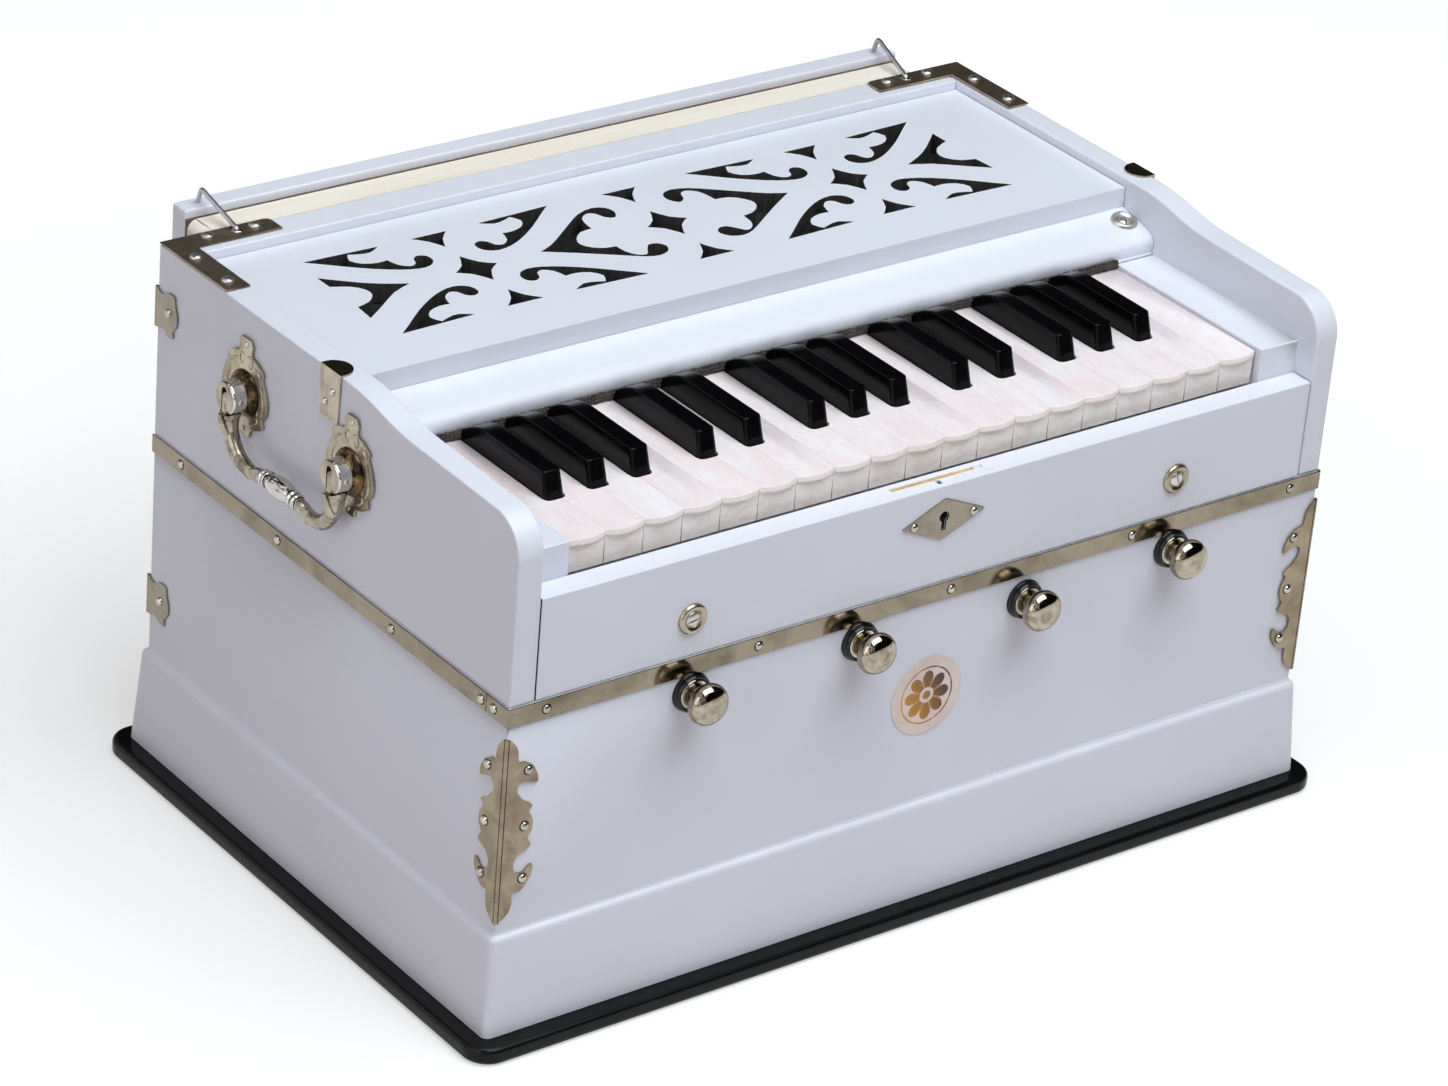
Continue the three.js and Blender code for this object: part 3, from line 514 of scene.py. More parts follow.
def black_gloss_material(colour):
    """Black enamel with dust and faint rubs."""
    n = Nodes("black_enamel")
    dust = n.between(n.noise(60, 6, 0.7), 0.45, 0.8)
    n.give(0.17, "Specular IOR Level")
    return n.done(
        n.mix(dust, colour, shade(colour, 1.9)),
        n.between(n.noise(35, 6, 0.65), 0.3, 0.75, 0.14, 0.3), n.noise(300, 3), 0.06, 0.4)


def nickel_material(name, colour, stain, low, high, scratch=0.05, cloudy=38):
    """Plated metal: cloudy tarnish, fine rubbing marks and an uneven gloss."""
    n = Nodes(name)
    cloud = n.noise(cloudy, 6, 0.62, distortion=0.6)
    fine = n.noise(240, 4, 0.6)
    tone = n.mix(n.between(cloud, 0.42, 0.72), colour, stain)
    n.give(1, "Metallic")
    lines = n.noise(160, 3, 0.6, n.stretched((1, 1, 14)))
    return n.done(
        n.mix(n.between(fine, 0.55, 0.8, 0, 0.35), tone, stain),
        n.between(cloud, 0.3, 0.75, low, high), lines, scratch, 0.3)


def pearl_material(colour):
    """Marbled celluloid that differs from key to key, brown wooden sides, and cream lips that are partly the
    celluloid's edge and partly a painted highlight.
    """
    n = Nodes("pearl_celluloid")
    place = n.node("SeparateXYZ", {0: n.point}).outputs
    first_key, pitch = -209 * MM, 22 * MM
    key = n.math("FLOOR", n.over(n.minus(place["X"], first_key), pitch))
    turned = n.node("Mapping", {
        "Vector": n.point, "Rotation": (0, 0, 0.62), "Scale": (1, 0.32, 1)}).outputs[0]

    def streaks(scale, detail, distortion, step):
        return n.node("TexNoise", {
            "Vector": turned, "Scale": scale, "Detail": detail, "Distortion": distortion,
            "W": n.times(key, step)}, noise_dimensions="4D").outputs["Fac"]

    drift = streaks(46, 4, 1.4, 7.31)
    flakes = n.node("TexVoronoi", {"Vector": turned, "Scale": 105, "W": n.times(key, 3.7)},
                    voronoi_dimensions="4D", feature="SMOOTH_F1").outputs["Color"]
    flake = n.node("SeparateColor", {0: flakes}).outputs[0]
    top = n.mix(n.between(drift, 0.32, 0.66), colour, srgb(245, 226, 229))
    top = n.mix(n.between(flake, 0.25, 0.85, 0, 0.5), top, srgb(250, 237, 240))
    vein = n.math("ABSOLUTE", n.minus(streaks(70, 5, 2.6, 5.13), 0.5))
    top = n.mix(n.between(vein, 0, 0.07, 0.3, 0), top, srgb(238, 214, 212))
    normal = n.node("SeparateXYZ", {0: n.node("NewGeometry").outputs["True Normal"]}).outputs
    low = n.math("LESS_THAN", place["Z"], KEY_TOP - 2.3 * MM)
    streak = n.noise(60, 5, 0.6, n.stretched((1, 1, 2.2)), 1.8)
    fronts = n.mix(n.between(streak, 0.35, 0.68), srgb(255, 250, 244), srgb(246, 229, 220))
    # Forward-facing cap faces are cream: partly the celluloid's edge, partly a painted highlight.
    cap = n.mix(n.math("LESS_THAN", normal["Y"], -0.35), top, srgb(255, 245, 238))
    body = n.mix(low, cap, fronts)
    wood = n.mix(n.noise(90, 5, 0.6, n.stretched((1, 0.12, 1))), srgb(148, 108, 88), srgb(104, 70, 56))
    flank = n.math("GREATER_THAN", n.math("ABSOLUTE", normal["X"]), 0.8)
    n.give(0.06, "Subsurface Weight")
    n.give((0.004, 0.002, 0.0015), "Subsurface Radius")
    return n.done(
        n.mix(n.times(flank, low), body, wood),
        n.between(drift, 0.3, 0.7, 0.2, 0.3), n.noise(210, 3), 0.05, 0.3)


def black_key_material(colour):
    n = Nodes("ebonised_key")
    grain = n.noise(70, 5, 0.6, n.stretched((1, 0.08, 1)))
    n.give(0.13, "Specular IOR Level")
    return n.done(
        n.mix(grain, colour, shade(colour, 1.8)),
        n.between(n.noise(55, 4), 0.3, 0.7, 0.1, 0.2), grain, 0.05, 0.3)


def pine_material(colour):
    """Raw pale wood, its grain across the instrument."""
    n = Nodes("raw_pine")
    grain_at = n.stretched((0.05, 1, 1))
    wide = n.noise(70, 6, 0.6, grain_at, 0.8)
    rings = n.node("TexWave", {
        "Vector": grain_at, "Scale": 60, "Distortion": 5, "Detail": 3, "Detail Scale": 1.4,
    }, wave_type="BANDS", bands_direction="Z").outputs["Fac"]
    tone = n.mix(n.between(rings, 0.55, 1, 0, 0.45), colour, srgb(226, 208, 188))
    return n.done(
        n.mix(n.between(wide, 0.4, 0.75, 0, 0.5), tone, srgb(248, 242, 233)),
        n.between(wide, 0.3, 0.7, 0.55, 0.72), rings, 0.12, 0.3)


def leather_material(name, colour):
    n = Nodes(name)
    pores = n.node("TexVoronoi", {"Vector": n.point, "Scale": 900}).outputs["Distance"]
    worn = n.noise(80, 5, 0.65)
    return n.done(
        n.mix(n.between(worn, 0.4, 0.75), colour, shade(colour, 1.6)),
        n.between(worn, 0.3, 0.7, 0.6, 0.8), pores, 0.25, 0.3)


def felt_material(name, colour, light):
    """Woven wool, its threads crossing every millimetre or so, rubbed and fuzzy."""
    n = Nodes(name)
    fibre = n.noise(900, 4, 0.7, distortion=1.2)
    patch = n.noise(150, 3, 0.6)
    threads = [n.node("TexWave", {"Vector": n.point, "Scale": 190, "Distortion": 7, "Detail": 3},
                      wave_type="BANDS", bands_direction=way).outputs["Fac"] for way in ("X", "Z")]
    weave = n.times(*threads)
    tone = n.mix(n.between(n.times(weave, fibre), 0.02, 0.4), colour, light)
    n.give(0.15, "Sheen Weight")
    return n.done(n.mix(n.between(patch, 0.5, 0.66, 0, 0.4), tone, light), 0.95, weave, 0.7, 0.5)


# Matte black card; in a darker colour, the same serves as painted shade.
def card_and_shade_material(colour):
    n = Nodes("black_card_and_painted_shade")
    weave = n.noise(700, 3)
    return n.done(n.mix(n.between(weave, 0.3, 0.7), colour, shade(colour, 2)), 0.85, weave, 0.2, 0.3)


def turned_black_material(colour):
    """Turned and lacquered black wood of the drawstop rosettes."""
    n = Nodes("turned_black")
    rings = n.noise(420)
    n.give(0.35, "Specular IOR Level")
    return n.done(
        n.mix(rings, colour, shade(colour, 1.5)),
        n.between(n.noise(120, 4), 0.3, 0.7, 0.1, 0.2), rings, 0.08, 0.2)


def sawn_material():
    """Walls of the fretwork: stained dark over upright saw marks."""
    n = Nodes("sawn_stain")
    marks = n.noise(520, 4, 0.65, n.stretched((1, 1, 0.06)))
    return n.done(
        n.mix(n.between(marks, 0.3, 0.72), srgb(24, 22, 23), srgb(62, 57, 58)), 0.8, marks, 0.4, 0.4)


def wood_material(name, light, dark):
    n = Nodes(name)
    grain = n.noise(85, 5, 0.6, n.stretched((1, 0.1, 1)), 0.6)
    return n.done(
        n.mix(n.between(grain, 0.3, 0.7), light, dark),
        n.between(grain, 0.3, 0.7, 0.5, 0.7), grain, 0.12, 0.3)


# Place and size of the round label on the front.
LABEL_X = 1.4 * MM
LABEL_Z = 121.3 * MM
LABEL_RADIUS = 21.5 * MM


def label_material():
    """A cream paper round with a plain eight-petalled rosette in a gold to brown wash."""
    n = Nodes("round_label")
    place = n.node("SeparateXYZ", {0: n.point})
    x = n.over(n.minus(place.outputs["X"], LABEL_X), LABEL_RADIUS)
    z = n.over(n.minus(place.outputs["Z"], LABEL_Z), LABEL_RADIUS)
    radius = n.math("SQRT", n.plus(n.times(x, x), n.times(z, z)))
    angle = n.math("ARCTAN2", z, x)
    petal = n.math("ABSOLUTE", n.math("COSINE", n.times(angle, 4), 0))
    reach = n.plus(n.times(n.math("POWER", petal, 0.6), 0.27), 0.36)
    inside = n.between(n.minus(reach, radius), -0.008, 0.012)
    heart = n.between(n.minus(radius, 0.2), -0.012, 0.012)
    eye = n.between(n.minus(0.11, radius), -0.01, 0.01)
    ring = n.times(n.between(radius, 0.69, 0.705), n.between(radius, 0.745, 0.73))
    print_area = n.most(n.most(n.times(inside, heart), eye), ring)
    wash = n.between(n.plus(n.times(x, 0.8), n.times(z, 0.35)), -0.55, 0.4)
    ink = n.mix(wash, srgb(205, 142, 22), srgb(72, 26, 16))
    vein = n.between(n.math("ABSOLUTE", n.math("SINE", n.times(angle, 4), 0)), 0.9, 0.98, 0, 0.4)
    ink = n.mix(vein, ink, srgb(236, 196, 120))
    paper = n.mix(n.between(n.noise(60, 4), 0.35, 0.7), srgb(236, 218, 211), srgb(224, 202, 195))
    return n.done(
        n.mix(print_area, paper, ink),
        n.between(n.noise(90, 3), 0.3, 0.7, 0.22, 0.32), n.noise(150, 3), 0.05, 0.3)


MATERIALS = {}

# Each metal: its material's name, its colour and its stain, its least and greatest roughness, the
# strength of its scratches and the scale of its clouds.
METALS = {
    "worn": ("worn_nickel", (36, 28, 22), (150, 120, 82), 0.18, 0.38, 0.1, 120),
    "tarnish": ("tarnished_nickel", (62, 52, 44), (30, 24, 20), 0.3, 0.5, 0.1, 200),
    "plate": ("plate_nickel", (180, 168, 150), (128, 116, 100), 0.2, 0.34, 0.08, 60),
    "cast": ("cast_nickel", (176, 166, 150), (96, 84, 70), 0.16, 0.32, 0.12, 110),
    "knob": ("drawstop_nickel", (178, 167, 149), (130, 117, 98), 0.05, 0.14, 0.02, 170),
    "strip": ("band_nickel", (148, 136, 119), (112, 100, 84), 0.07, 0.16, 0.03, 30),
    "angle": ("angle_nickel", (156, 141, 120), (116, 100, 80), 0.2, 0.36, 0.06, 50),
    # Painted shade: the darker nickel in the creases of the front angles.
    "crease": ("crease_shade_nickel", (112, 96, 76), (80, 66, 52), 0.3, 0.5, 0.1, 90),
    "corner": ("corner_nickel", (168, 153, 136), (118, 104, 88), 0.4, 0.52, 0.08, 70),
    "head": ("head_nickel", (206, 202, 198), (160, 154, 148), 0.3, 0.42),
    "wire": ("wire_nickel", (192, 191, 198), (146, 142, 144), 0.26, 0.38, 0.03),
    "screw": ("screw_nickel", (196, 190, 180), (140, 132, 120), 0.1, 0.22, 0.03),
}


def finish_of(key):
    """The shared material of that name, made the first time, some from the panel's colours."""
    if key not in MATERIALS:
        if key in METALS:
            name, colour, stain, *rest = METALS[key]
            MATERIALS[key] = nickel_material(name, srgb(*colour), srgb(*stain), *rest)
        else:
            MATERIALS[key] = other_finish(key, bpy.context.scene.harmonium_finish)
    return MATERIALS[key]


def other_finish(key, colours):
    panel = {name: (*getattr(colours, name), 1) for name in (
        "paint", "enamel", "nickel", "bright", "pearl", "ebony", "pine", "leather")}
    makers = {
        "paint": lambda: paint_material(panel["paint"]),
        "enamel": lambda: black_gloss_material(panel["enamel"]),
        "turned": lambda: turned_black_material(panel["enamel"]),
        "nickel": lambda: nickel_material(
            "aged_nickel", panel["nickel"], shade(panel["nickel"], 0.62), 0.2, 0.36),
        "bright": lambda: nickel_material(
            "bright_nickel", panel["bright"], shade(panel["bright"], 0.8), 0.05, 0.14, 0.02),
        "pearl": lambda: pearl_material(panel["pearl"]),
        "ebony": lambda: black_key_material(panel["ebony"]),
        "pine": lambda: pine_material(panel["pine"]),
        "leather": lambda: leather_material("bellows_leather", panel["leather"]),
        "sawn": sawn_material,
        "label": label_material,
        "packing": lambda: wood_material("lock_packing", srgb(222, 184, 132), srgb(176, 132, 84)),
        "key wood": lambda: wood_material("key_wood", srgb(120, 84, 62), srgb(84, 56, 42)),
        "felt": lambda: felt_material("key_felt", srgb(30, 22, 21), srgb(86, 70, 64)),
        "card": lambda: card_and_shade_material(srgb(14, 14, 15)),
        # Near-black painted shade for the keyhole, the lock's slot, the handle's slot and the panel's joints.
        "dark": lambda: card_and_shade_material(srgb(9, 7, 6)),
    }
    return makers[key]()


# Settings


def colour_property(name, description, default):
    return FloatVectorProperty(
        name=name, description=description, subtype="COLOR", size=3, min=0, max=1, default=default[:3])


class HARMONIUM_PG_finish(bpy.types.PropertyGroup):
    """Colours of the finishes."""

    paint: colour_property("Paint", "Satin paint of the case", srgb(226, 227, 238))
    enamel: colour_property("Enamel", "Black enamel of the base board", srgb(13, 13, 14))
    nickel: colour_property("Aged nickel", "Keyhole plate and rear brackets", srgb(148, 138, 124))
    bright: colour_property("Bright nickel", "Cast handles", srgb(206, 202, 197))
    pearl: colour_property("Pearl", "Celluloid of the white keys", srgb(248, 244, 249))
    ebony: colour_property("Black keys", "Ebonised black keys", srgb(5, 5, 6))
    pine: colour_property("Pine", "Raw wood of the bellows frame", srgb(243, 234, 222))
    leather: colour_property("Leather", "Bellows leather and gasket", srgb(88, 62, 48))


class HARMONIUM_PG_studio(bpy.types.PropertyGroup):
    """Camera and light."""

    place: FloatVectorProperty(
        name="Camera place", description="Where the camera stands", subtype="XYZ", unit="LENGTH",
        size=3, default=(-1.4909, -1.8459, 1.3921))
    turn: FloatVectorProperty(
        name="Camera turn", description="How the camera is turned", subtype="EULER", unit="ROTATION",
        size=3, default=(1.080551, -0.076205, -0.637025))
    lens: FloatProperty(
        name="Lens", description="Focal length in millimetres on a 36 mm wide sensor",
        default=132.654, min=10)
    shift_x: FloatProperty(name="Shift across", description="Sideways shift of the frame", default=-0.00202)
    shift_y: FloatProperty(name="Shift up", description="Upward shift of the frame", default=0.00079)
    sky: FloatProperty(
        name="Fill", description="Strength of the light from all round", default=0.155, min=0)
    overhead: FloatProperty(
        name="Overhead lamp", description="Power of the large soft lamp overhead",
        default=43, min=0, unit="POWER")
    left: FloatProperty(
        name="Left lamp", description="Power of the soft lamp at the left", default=9, min=0, unit="POWER")


# Pieces


class HarmoniumOperator:
    """What the operators share."""

    bl_options = {"REGISTER", "UNDO"}

    def execute(self, context):
        self.make(context)
        return {"FINISHED"}


class HARMONIUM_OT_stage(HarmoniumOperator, bpy.types.Operator):
    """Sets the camera, the lamps, the floor and the background"""

    bl_idname = "harmonium.stage"
    bl_label = "Stage"

    def make(self, context):
        studio = context.scene.harmonium_studio
        camera = bpy.data.cameras.new("camera")
        camera.lens = studio.lens
        camera.sensor_width = 36
        camera.shift_x = studio.shift_x
        camera.shift_y = studio.shift_y
        camera.clip_start = 0.05
        holder = linked("camera", camera)
        holder.location = studio.place
        holder.rotation_euler = studio.turn
        context.scene.camera = holder
        self.world(context.scene, studio.sky)
        self.floor()
        self.room()
        self.lamp("overhead", (0.05, -0.7, 2.0), (0, 0, 0.15), 1.7, studio.overhead, (0.9, 0.985, 1))
        self.lamp("left", (-2.2, -0.5, 1.2), (0, 0, 0.1), 1.6, studio.left, (1, 0.98, 1))
        context.scene.view_settings.view_transform = "Standard"

    def graph(self, owner):
        made = Graph(owner)
        made.tree.nodes.clear()
        return made

    def world(self, scene, sky):
        """A weak warm fill. A camera, glossy or transmission ray sees plain white instead."""
        scene.world = bpy.data.worlds.new("studio")
        g = self.graph(scene.world)
        fill = g.node("Background", {"Color": (1, 0.93, 0.97, 1), "Strength": sky})
        seen = g.node("Background", {"Color": (1, 1, 1, 1), "Strength": 1})
        rays = g.node("LightPath").outputs
        direct = g.most(rays["Is Camera Ray"], rays["Is Glossy Ray"])
        either = g.most(direct, rays["Is Transmission Ray"])
        mixed = g.node("MixShader", {0: either, 1: fill.outputs[0], 2: seen.outputs[0]})
        g.node("OutputWorld", {0: mixed.outputs[0]})

    def floor(self):
        """Grey for the light that it throws back, but seen pale, and whiter far from the part."""
        reach = 8
        corners = ((-reach, -reach), (reach, -reach), (reach, reach), (-reach, reach))
        bm = bmesh.new()
        bm.faces.new([bm.verts.new((x, y, 0)) for x, y in corners])
        material = bpy.data.materials.new("floor")
        g = self.graph(material)
        grey = g.node("BsdfDiffuse", {"Color": (0.65, 0.585, 0.595, 1)})
        white = g.node("BsdfDiffuse", {"Color": (0.55, 0.55, 0.55, 1)})
        place = g.node("NewGeometry").outputs["Position"]
        away = g.node("VectorMath", {0: place}, operation="LENGTH").outputs["Value"]
        lift = g.node("Emission", {"Strength": g.between(away, 0.38, 0.85, 0.5, 0.68)})
        shown = g.node("AddShader", {0: white.outputs[0], 1: lift.outputs[0]})
        rays = g.node("LightPath").outputs
        seen = g.most(rays["Is Camera Ray"], rays["Is Glossy Ray"])
        mixed = g.node("MixShader", {0: seen, 1: grey.outputs[0], 2: shown.outputs[0]})
        g.node("OutputMaterial", {0: mixed.outputs[0]})
        floor = self.shown("floor", bm, material)
        floor.location.z = -0.2 * MM

    def room(self):
        """The dim room round the studio, a dome over the pale floor. Only polished surfaces show it."""
        around, up = 48, 10
        radius = 3.6
        bm = bmesh.new()
        rings = []
        for k in range(up + 1):
            rise = math.radians(5 + 83 * k / up)
            ring = arc(radius * math.cos(rise), 0, 360, around)[:-1]
            rings.append([bm.verts.new((x, y, radius * math.sin(rise))) for x, y in ring])
        skin(bm, rings)
        material = bpy.data.materials.new("room")
        g = self.graph(material)
        point = g.node("TexCoord").outputs["Object"]
        noise = g.node("TexNoise", {"Scale": 1.5, "Detail": 1.5, "Vector": point}).outputs["Fac"]
        place = g.node("SeparateXYZ", {0: point}).outputs
        leftward = g.math("MULTIPLY_ADD", place["X"], -0.075, noise)
        near = g.math("MINIMUM", place["Y"], 0)
        frontward = g.math("MULTIPLY_ADD", near, 0.03, leftward)
        ramp = g.node("ValToRGB", {0: frontward})
        first, last = ramp.color_ramp.elements
        first.position, first.color = 0.46, (0.006, 0.005, 0.005, 1)
        last.position, last.color = 0.62, (0.95, 0.97, 1, 1)
        ramp.color_ramp.elements.new(0.56).color = (0.12, 0.08, 0.06, 1)
        glow = g.node("Emission", {0: ramp.outputs[0]})
        g.node("OutputMaterial", {0: glow.outputs[0]})
        room = self.shown("room", bm, material)
        for ray in ("camera", "diffuse", "transmission", "volume_scatter", "shadow"):
            setattr(room, f"visible_{ray}", False)

    def shown(self, name, bm, material):
        mesh = mesh_from(bm, name)
        mesh.materials.append(material)
        return linked(name, mesh)

    def lamp(self, name, place, target, size, power, colour):
        light = bpy.data.lights.new(name, "AREA")
        light.shape = "SQUARE"
        light.size = size
        light.energy = power
        light.color = colour
        lamp = linked(name, light)
        lamp.location = place
        lamp.rotation_euler = (Vector(target) - Vector(place)).to_track_quat("-Z", "Y").to_euler()


# Outward distance from the case's wall and height over the case's underside, in millimetres.
PLINTH_SECTION = (
    (6.45, 0.02), (3.25, 48.1), (3.1, 49.6), (2.75, 50.6), (2.1, 51.3), (1.3, 51.7), (0.7, 52),
    (0.25, 52.5), (0.03, 53.4), (-0.5, 53.4), (-0.5, 0.02),
)


def keyhole_shapes(radius, half, drop, depth):
    """The round and the leg of a keyhole, to carve it from the front."""
    start = -3 * MM
    return (
        turned_shape([(radius, start), (radius, depth)], 24, (0, FRONT, KEYHOLE), (0, 1, 0)),
        box_shape((-half, FRONT + start, KEYHOLE - drop), (half, FRONT + depth, KEYHOLE)),
    )


class HARMONIUM_OT_cabinet(HarmoniumOperator, bpy.types.Operator):
    """Paints the case and eases its edges"""

    bl_idname = "harmonium.cabinet"
    bl_label = "Cabinet"

    def make(self, context):
        self.base_board()
        dressed("lower_case", "paint", "white_paint")
        self.cheek("side_panel_left")
        self.cheek("side_panel_right")
        dressed("rear_panel", "paint", "white_paint", 0.9 * MM, 6 * MM)
        self.front_panel()
        dressed("cover_rail", "paint", "white_paint", 0.5 * MM, 6 * MM)
        self.rail_seats()
        self.plinth()

    def painted(self, bm, name, smooth_angle, **more):
        add_piece(bm, name, "case", "white_paint", ["paint"], smooth_angle, **more)

    def plinth(self):
        """The plinth's painted skin: flared faces, a rounded top edge and a small cove up to the wall."""
        foot = edge("lower_case", 2, False)
        bm = bmesh.new()
        rings = []
        for out, rise in PLINTH_SECTION:
            radius = (1.2 + 2.85 * min(1, max(0, out) / 3)) * MM
            plan = rounded_plan(SIDE + out * MM, BACK + out * MM, radius, 6)
            rings.append([bm.verts.new((x, y, foot + rise * MM)) for x, y in plan])
        skin(bm, rings, wrap=True)
        self.painted(bm, "plinth_skin", 60)

    def rail_seats(self):
        """Paint built up in the joint of the rail with each end block."""
        seat = edge("cover_rail", 2, False)
        nose = edge("cover_rail", 1, False)
        section = [(nose + u, seat + v) for u, v in mm((
            (0.1, -0.2), (6, -0.2), (6, 0.3), (1.4, 1.5), (0.5, 1.3), (0.1, 0.6)))]
        for hand, side in HANDS:
            bm = bmesh.new()
            sheet_into(bm, section, lambda u, v, w: (hand * (INNER - 24.1 * MM + w), u, v), 23.8 * MM)
            self.painted(bm, f"rail_seat_{side}", 60, even=False)

    def cheek(self, node):
        """A cheek with well-rounded edges and the crisper end block inside it."""
        bm = cad_bmesh(node)
        within = INNER - 0.1 * MM
        for width, outside in ((1.6 * MM, True), (0.6 * MM, False)):
            edges = [e for e in sharp_edges(bm, 35, 1.5 * MM) if e.is_convex]
            bevel(bm, [e for e in edges if all(abs(v.co.x) > within for v in e.verts) == outside], width)
        self.painted(bm, f"{node}_finish", 50, node=node)

    def front_panel(self):
        """The front panel, its ends drawn in and its keyhole opened, the keyhole's inside and the ends
        painted near-black as shade.
        """
        bm = cad_bmesh("front_panel")
        joint = 0.25 * MM
        for vert in bm.verts:
            if abs(vert.co.x) > INNER - 0.5 * MM:
                vert.co.x -= math.copysign(joint, vert.co.x)
        bevel(bm, sharp_edges(bm, 35, 9 * MM), 0.9 * MM)
        bm = bmesh_of(carved(mesh_from(bm), *keyhole_shapes(2.75 * MM, 1.25 * MM, 6.9 * MM, 7.9 * MM)))
        for face in bm.faces:
            x, y, z = face.calc_center_median()
            level = z - KEYHOLE
            in_keyhole = abs(x) < 3 * MM and 0.05 * MM < y - FRONT < 8.6 * MM and -7.2 * MM < level < 3 * MM
            # Painted shade: the keyhole's inside and the panel's ends in their joints take the near-black
            # finish.
            if in_keyhole or abs(x) > INNER - 0.7 * MM:
                face.material_index = 1
        add_piece(bm, "front_panel_finish", "case", "white_paint", ["paint", "dark"], 50, "front_panel")

    def base_board(self):
        """Rings of a rounded rectangle, drawn in and up round the eased edges."""
        low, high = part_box("base_board")
        ease = 2.8 * MM
        steps = 6
        rings = []
        for k in range(2 * steps + 2):
            upper = k > steps
            turn = QUARTER * (k - upper) / steps - QUARTER
            inset = ease * (1 - math.cos(turn))
            level = (high.z - ease if upper else low.z + ease) + ease * math.sin(turn)
            plan = rounded_plan(high.x - inset, high.y - inset, 14 * MM - inset, 12)
            rings.append([(x, y, level) for x, y in plan])
        bm = bmesh.new()
        loft_into(bm, rings)
        add_piece(bm, "base_board_enamelled", "case", "black_base", ["enamel"], 60, "base_board")


# Distances of the band's seam and pins from the front of the case, and of the front's pins from the middle.
BAND_SEAM = 16.8 * MM
SIDE_PINS = [d * MM for d in (283, 194.5, 95.4, 20.8, 10.8)]
FRONT_PINS = [x * MM for x in (-227.6, -106.6, 9.2, 123.5, 228.1)]


class HARMONIUM_OT_band(HarmoniumOperator, bpy.types.Operator):
    """Lays the metal band in three lengths and pins it"""

    bl_idname = "harmonium.band"
    bl_label = "Metal band"

    def make(self, context):
        near = SIDE + 0.3 * MM
        far = near + 0.7 * MM
        front_near = FRONT - 0.3 * MM
        front_far = front_near - 0.7 * MM
        seam = FRONT + BAND_SEAM
        gap = 0.2 * MM
        bend = 1.4 * MM
        corner = [(far - bend + u, front_far + bend - v) for u, v in arc(bend, 0, 90, 5)]
        outer = [(far, seam - gap), *corner]
        inner = [(near, seam - gap), (near, front_near)]
        front = outer + [(-x, y) for x, y in reversed(outer)]
        back = inner + [(-x, y) for x, y in reversed(inner)]
        plans = [front + back[::-1]]
        for hand, _ in HANDS:
            plans.append([(hand * x, y) for x, y in (
                (near, seam + gap), (far, seam + gap), (far, BACK), (near, BACK))])
        bm = bmesh.new()
        for plan in plans:
            sheet_into(bm, plan, lambda u, v, w: (u, v, BAND_BOTTOM + w), BAND_TOP - BAND_BOTTOM)
        bevel(bm, sharp_edges(bm, 60, 1 * MM), 0.26 * MM)
        add_piece(bm, "band_lengths", "case", "nickel_plate", ["strip"], 40, "metal_band")
        self.pins(far, front_far)

    def pins(self, far, front_far):
        head = pin_shape(2.2 * MM, 1.35 * MM)
        halo = halo_shape(2.7 * MM)
        level = (BAND_BOTTOM + BAND_TOP) / 2
        seats = [facing((hand * far, FRONT + depth, level), (hand, 0, 0))
                 for hand, _ in HANDS for depth in SIDE_PINS]
        seats += [facing((x, front_far, level), FORWARD) for x in FRONT_PINS]
        bm = bmesh.new()
        for seat in seats:
            stamp(bm, head, seat)
            stamp(bm, halo, seat, 1)
        add_trim(bm, "band_pins", ["screw", "tarnish"], 60)


class HARMONIUM_OT_lid(HarmoniumOperator, bpy.types.Operator):
    """Paints the fretwork lid, stains its sawn walls and lines it with card"""

    bl_idname = "harmonium.lid"
    bl_label = "Fretwork lid"

    def make(self, context):
        low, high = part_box("fretwork_lid")
        bm = cad_bmesh("fretwork_lid")
        rim = 4 * MM
        for face in bm.faces:
            middle = face.calc_center_median()
            inside = abs(middle.x) < high.x - rim and low.y + rim < middle.y < high.y - rim
            if inside and abs(face.normal.z) < 0.5:
                face.material_index = 1
        upper = high.z - 0.1 * MM
        tops = [e for e in sharp_edges(bm, 50, 0.2 * MM) if min(v.co.z for v in e.verts) > upper]
        bmesh.ops.bevel(bm, geom=tops, offset=0.3 * MM, segments=2, profile=0.5, affect="EDGES",
                        clamp_overlap=True, material=0)
        add_piece(bm, "lid_painted", "fretwork_lid", "white_paint", ["paint", "sawn"], 40, "fretwork_lid")
        self.lining(low, high)

    def lining(self, low, high):
        """Card glued under the lid at its edge and its middle bars. It sags a little between them."""
        side = 8 * MM
        across, along = 48, 20
        reach_x, reach_y = high.x - low.x - 2 * side, high.y - low.y - 2 * side
        card = bmesh.new()
        rims = []
        for under in (0.03 * MM, 0.17 * MM):
            rows = []
            for j in range(along + 1):
                v = j / along
                row = []
                for i in range(across + 1):
                    u = i / across
                    sag = 0.7 * MM * abs(math.sin(3 * math.pi * u)) * math.sin(math.pi * v)
                    row.append(card.verts.new((
                        low.x + side + reach_x * u, low.y + side + reach_y * v, low.z - under - sag)))
                rows.append(row)
            for here, ahead in zip(rows, rows[1:]):
                for i in range(across):
                    card.faces.new((here[i], here[i + 1], ahead[i + 1], ahead[i]))
            right, left = [r[-1] for r in rows[1:]], [r[0] for r in rows[-2:0:-1]]
            rims.append([*rows[0], *right, *rows[-1][-2::-1], *left])
        skin(card, rims)
        add_piece(card, "lid_lining", "fretwork_lid", "black_base", ["card"], even=False)


def key_nodes(sharp):
    keys = [name for name in sorted(frame["nodes"]) if name.startswith("key_")]
    return [name for name in keys if ("sharp" in name) == sharp]


